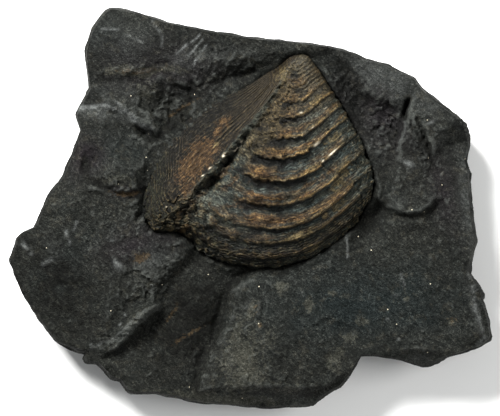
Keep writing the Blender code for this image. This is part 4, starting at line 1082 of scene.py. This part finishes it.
def split_shale():
    """Dark, carbon-rich shale, split by hand: matt, fine-grained and hackly, with specks of pyrite."""
    material, tree, shader = new_material("split_shale")
    place = add_node(tree, "ShaderNodeTexCoord").outputs["Object"]
    tone = speckled(tree, place, ((8.0, 1.0), (1.4, 0.45), (0.5, 0.5), (0.22, 0.55)))
    drawing = {"vector_type": "TEXTURE", "Rotation": (0.0, 0.0, -0.7), "Scale": (2.4, 1.0, 1.0)}
    drawn = add_node(tree, "ShaderNodeMapping", drawing, {"Vector": place})
    tone = add_mix(tree, 0.22, tone, grain(tree, drawn.outputs[0], 0.6, 3.0))
    flattening = {"operation": "MULTIPLY", 1: (0.12, 0.12, 1.0)}
    flat = add_node(tree, "ShaderNodeVectorMath", flattening, {0: place})
    tone = add_mix(tree, add_sum(tree, "MULTIPLY", mark(tree, "side"), 0.45), tone,
                   grain(tree, flat.outputs[0], 0.9, 3.0))
    colour = add_ramp(tree, tone,
                      (0.37, "#060605"), (0.45, "#10110F"), (0.53, "#1D1E1B"), (0.65, "#464741"))
    clouds = add_ramp(tree, grain(tree, place, 5.0, 3.0), (0.47, "#000000"), (0.6, "#707070"))
    green = add_sum(tree, "ADD", mark(tree, "green"), clouds)
    flecks = add_ramp(tree, grain(tree, place, 2.4, 4.0, 0.7), (0.56, "#000000"), (0.63, "#A0A0A0"))
    layers = (
        (green, 0.8, (0.37, "#040606"), (0.45, "#0D1212"), (0.53, "#191F1F"), (0.65, "#404747")),
        (mark(tree, "warm"), 0.8,
         (0.36, "#070606"), (0.45, "#131012"), (0.53, "#201C1F"), (0.66, "#4B4547")),
        # bare_and_lit: paler bare rock, and painted light on faces that would lie in shade
        (mark(tree, "bare_and_lit"), 0.75, (0.36, "#151716"), (0.5, "#393B39"), (0.66, "#6E716E")),
        (broken(tree, "tan", place, 0.8), 0.55, (0.36, "#161713"), (0.5, "#36362F"), (0.66, "#68675B")),
        (flecks, 0.7, (0.36, "#191813"), (0.5, "#38362E"), (0.66, "#6A675B")),
        # edges that stand proud: paler with wear, and given a painted highlight
        (level_mark(tree, "proud", 0.05, 0.28), 0.34, (0.36, "#2B2D2B"), (0.66, "#6C6F6A")),
        # dirt_and_shade: real dirt, and painted shade in hollows and in the crevice round the shell
        (mark(tree, "dirt_and_shade"), 0.85, (0.38, "#020202"), (0.52, "#0A0A08"), (0.66, "#22231D")),
        # painted shade in hollows
        (level_mark(tree, "hollow", 0.08, 1.3), 0.5,
         (0.37, "#030303"), (0.52, "#141513"), (0.66, "#3E403A")),
        (broken(tree, "rust", place, 0.8), 0.7, (0.36, "#15110A"), (0.5, "#342A1D"), (0.66, "#65563D")),
        # pale: scratches and flecks, and painted highlights along lit edges
        (mark(tree, "pale"), 0.75, (0.38, "#303232"), (0.62, "#8A8D8A")),
    )
    for factor, share, *stops in layers:
        colour = lay_over(tree, colour, factor, share, tone, *stops)
    crystals = add_node(tree, "ShaderNodeTexVoronoi", {"Scale": 1.0 / (2.9 * MM)}, {"Vector": place})
    speck = add_sum(tree, "MULTIPLY", add_sum(tree, "LESS_THAN", crystals.outputs["Distance"], 0.045),
                    add_sum(tree, "GREATER_THAN", crystals.outputs["Color"], 0.62))
    colour = add_mix(tree, speck, colour, "#C9C0A8")
    tree.links.new(colour, shader.inputs["Base Color"])
    rough = add_ramp(tree, tone, (0.34, "#E8E8E8"), (0.66, "#B4B4B4"))
    tree.links.new(rough, shader.inputs["Roughness"])
    shader.inputs["Specular IOR Level"].default_value = 0.05
    height = speckled(tree, place, ((0.9, 1.0), (0.45, 0.5), (0.25, 0.4)))
    bump = add_node(tree, "ShaderNodeBump", {"Strength": 1.0, "Distance": 0.0007}, {"Height": height})
    tree.links.new(bump.outputs["Normal"], shader.inputs["Normal"])
    return material


def mineral_shell():
    """Shell replaced by minerals: bronze crests, grey-green between them, a soft gloss where it is worn."""
    material, tree, shader = new_material("mineral_shell")
    place = add_node(tree, "ShaderNodeTexCoord").outputs["Object"]
    fine = grain(tree, place, 0.34, 3.0, 0.8)
    tone = speckled(tree, place, ((3.0, 1.0), (1.0, 0.45), (0.5, 0.5), (0.3, 0.4)), 2.0)
    tone = add_mix(tree, 0.45, tone, streaks(tree, 0.35))
    green = add_ramp(tree, tone,
                     (0.36, "#080A08"), (0.45, "#1A1E1A"), (0.54, "#2F322B"), (0.66, "#5D6055"))
    brown = add_ramp(tree, tone,
                     (0.36, "#0C0A06"), (0.46, "#282115"), (0.55, "#483D27"), (0.66, "#846E45"))
    red_brown = add_ramp(tree, tone,
                         (0.36, "#0D0906"), (0.46, "#292017"), (0.55, "#463828"), (0.66, "#7C674A"))
    brown = add_mix(tree, mark(tree, "behind"), brown, red_brown)
    colour = add_mix(tree, mark(tree, "slope"), green, brown)
    cool = add_ramp(tree, streaks(tree, 1.3), (0.48, "#000000"), (0.56, "#FFFFFF"))
    colour = lay_over(tree, colour, cool, 0.55, tone,
                      (0.38, "#060A0B"), (0.5, "#1F2A2A"), (0.62, "#5A6866"))
    warm = add_ramp(tree, streaks(tree, 1.9), (0.47, "#000000"), (0.55, "#FFFFFF"))
    warm = add_sum(tree, "MULTIPLY", warm, mark(tree, "slope"))
    colour = lay_over(tree, colour, warm, 0.7, tone,
                      (0.38, "#150E07"), (0.5, "#50381F"), (0.62, "#A07B46"))
    colour = lay_over(tree, colour, mark(tree, "crumbly"), 0.7, tone,
                      (0.36, "#0C0A06"), (0.46, "#2A2417"), (0.55, "#4C4029"), (0.66, "#877452"))
    hinge = add_ramp(tree, tone,
                     (0.41, "#030302"), (0.48, "#0D0B07"), (0.54, "#211B12"), (0.62, "#5A4F3A"))
    hinge = lay_over(tree, hinge, mark(tree, "outer"), 0.8, tone,
                     (0.42, "#020201"), (0.5, "#0D0D0B"), (0.62, "#32312A"))
    # Painted highlight on the tops of the area's fine ribs, and painted shade in the grooves between them
    stria = level_mark(tree, "stria", 0.0, 1.0)
    hinge = add_mix(tree, add_sum(tree, "MULTIPLY", stria, 0.2), hinge, "#5E5541")
    between = level_mark(tree, "stria", 0.1, -0.8)
    hinge = add_mix(tree, add_sum(tree, "MULTIPLY", between, 0.95), hinge, "#030302")
    pores = add_ramp(tree, grain(tree, place, 0.7, 5.0, 0.75), (0.41, "#FFFFFF"), (0.49, "#000000"))
    hinge = add_mix(tree, add_sum(tree, "MULTIPLY", pores, 0.6), hinge, "#050504")
    colour = add_mix(tree, mark(tree, "area"), colour, hinge)
    layers = (
        (mark(tree, "umbo"), 0.6, tone, (0.36, "#0E0B07"), (0.5, "#342C1F"), (0.66, "#746448")),
        (mark(tree, "margin"), 0.85, tone, (0.41, "#020201"), (0.5, "#090A07"), (0.61, "#37382A")),
        (broken(tree, "rust", place, 1.0), 0.65, tone,
         (0.36, "#120C06"), (0.5, "#3B2B1A"), (0.66, "#7A5E3C")),
        (broken(tree, "patina", place, 1.0), 0.75, tone,
         (0.36, "#151714"), (0.5, "#3B3F39"), (0.66, "#757A6E")),
        (broken(tree, "crust", place, 0.9), 0.8, tone,
         (0.36, "#1E1910"), (0.5, "#51472F"), (0.66, "#8C7C58")),
        # painted highlight on bits that stand proud
        (level_mark(tree, "proud", 0.03, 0.25), 0.35, tone, (0.36, "#3B3120"), (0.66, "#94805A")),
        # crest: worn crests, with a painted highlight
        (mark(tree, "crest"), 0.9, fine, (0.38, "#3A2E1E"), (0.5, "#94784A"), (0.62, "#D8BB80")),
        (mark(tree, "rocky"), 0.7, fine, (0.42, "#080908"), (0.54, "#22251F"), (0.68, "#666A5C")),
        # painted shade in hollows
        (level_mark(tree, "hollow", 0.06, 0.7), 0.3, tone,
         (0.38, "#020202"), (0.52, "#0C0E0B"), (0.66, "#2A2B22")),
        # dirt_and_shade: soot and the crack, and painted shade in the gape, below the rib steps and in the
        # hole
        (mark(tree, "dirt_and_shade"), 0.95, fine, (0.38, "#010101"), (0.54, "#070807"), (0.68, "#1C1E18")),
    )
    for factor, share, shade, *stops in layers:
        colour = lay_over(tree, colour, factor, share, shade, *stops)
    grime = add_ramp(tree, grain(tree, place, 0.5, 5.0, 0.75), (0.38, "#FFFFFF"), (0.48, "#000000"))
    colour = add_mix(tree, add_sum(tree, "MULTIPLY", grime, 0.7), colour, "#0A0906")
    colour = add_mix(tree, mark(tree, "glint"), colour, "#E9DDC2")
    tree.links.new(colour, shader.inputs["Base Color"])
    rough = add_ramp(tree, tone, (0.36, "#C8C8C8"), (0.66, "#909090"))
    rough = add_mix(tree, mark(tree, "crest"), rough, "#686868")
    rough = add_mix(tree, mark(tree, "glint"), rough, "#303030")
    tree.links.new(rough, shader.inputs["Roughness"])
    shader.inputs["Specular IOR Level"].default_value = 0.15
    height = speckled(tree, place, ((0.9, 1.0), (0.45, 0.5), (0.25, 0.4)))
    bump = add_node(tree, "ShaderNodeBump", {"Strength": 1.0, "Distance": 0.0009}, {"Height": height})
    tree.links.new(bump.outputs["Normal"], shader.inputs["Normal"])
    return material


# ---- stage ---------------------------------------------------------------------------------------------
def pale_floor():
    """Matt white board under the specimen."""
    material, _, shader = new_material("white_board")
    shader.inputs["Base Color"].default_value = linear("#F7F7F5")
    shader.inputs["Roughness"].default_value = 0.9
    mesh = bmesh.new()
    bmesh.ops.create_grid(mesh, x_segments=1, y_segments=1, size=3.0)
    data = bpy.data.meshes.new("floor")
    mesh.to_mesh(data)
    mesh.free()
    data.materials.append(material)
    floor = bpy.data.objects.new("floor", data)
    bpy.context.scene.collection.objects.link(floor)


def add_lamp(name, place, size, watts):
    """A square soft box aimed at the specimen."""
    lamp = bpy.data.objects.new(name, bpy.data.lights.new(name, "AREA"))
    lamp.data.size = size
    lamp.data.energy = watts
    lamp.location = place
    lamp.rotation_mode = "QUATERNION"
    lamp.rotation_quaternion = (Vector(LAMP_TARGET) - Vector(place)).to_track_quat("-Z", "Y")
    bpy.context.scene.collection.objects.link(lamp)


def add_studio():
    """A soft box at the upper left, a larger and weaker one at the right, and pale light all round."""
    add_lamp(*KEY_LAMP)
    add_lamp(*FILL_LAMP)
    world = bpy.data.worlds.new("studio")
    world.use_nodes = True
    background = world.node_tree.nodes["Background"]
    background.inputs["Color"].default_value = linear(SKY_COLOUR)
    background.inputs["Strength"].default_value = SKY_STRENGTH
    bpy.context.scene.world = world
    bpy.context.scene.view_settings.view_transform = "Standard"


def add_camera():
    """A long lens straight above the specimen, with the slab filling the frame."""
    camera = bpy.data.objects.new("camera", bpy.data.cameras.new("camera"))
    camera.data.sensor_width = SENSOR_WIDTH
    camera.data.lens = SENSOR_WIDTH * (CAMERA_PLACE[2] - SEEN_LEVEL) / SEEN_WIDTH
    camera.location = CAMERA_PLACE
    bpy.context.scene.collection.objects.link(camera)
    bpy.context.scene.camera = camera


add_piece("shale_slab", make_slab(), split_shale(), "matrix")
add_piece("fossil_shell", make_shell(), mineral_shell(), "valve")
pale_floor()
add_studio()
add_camera()
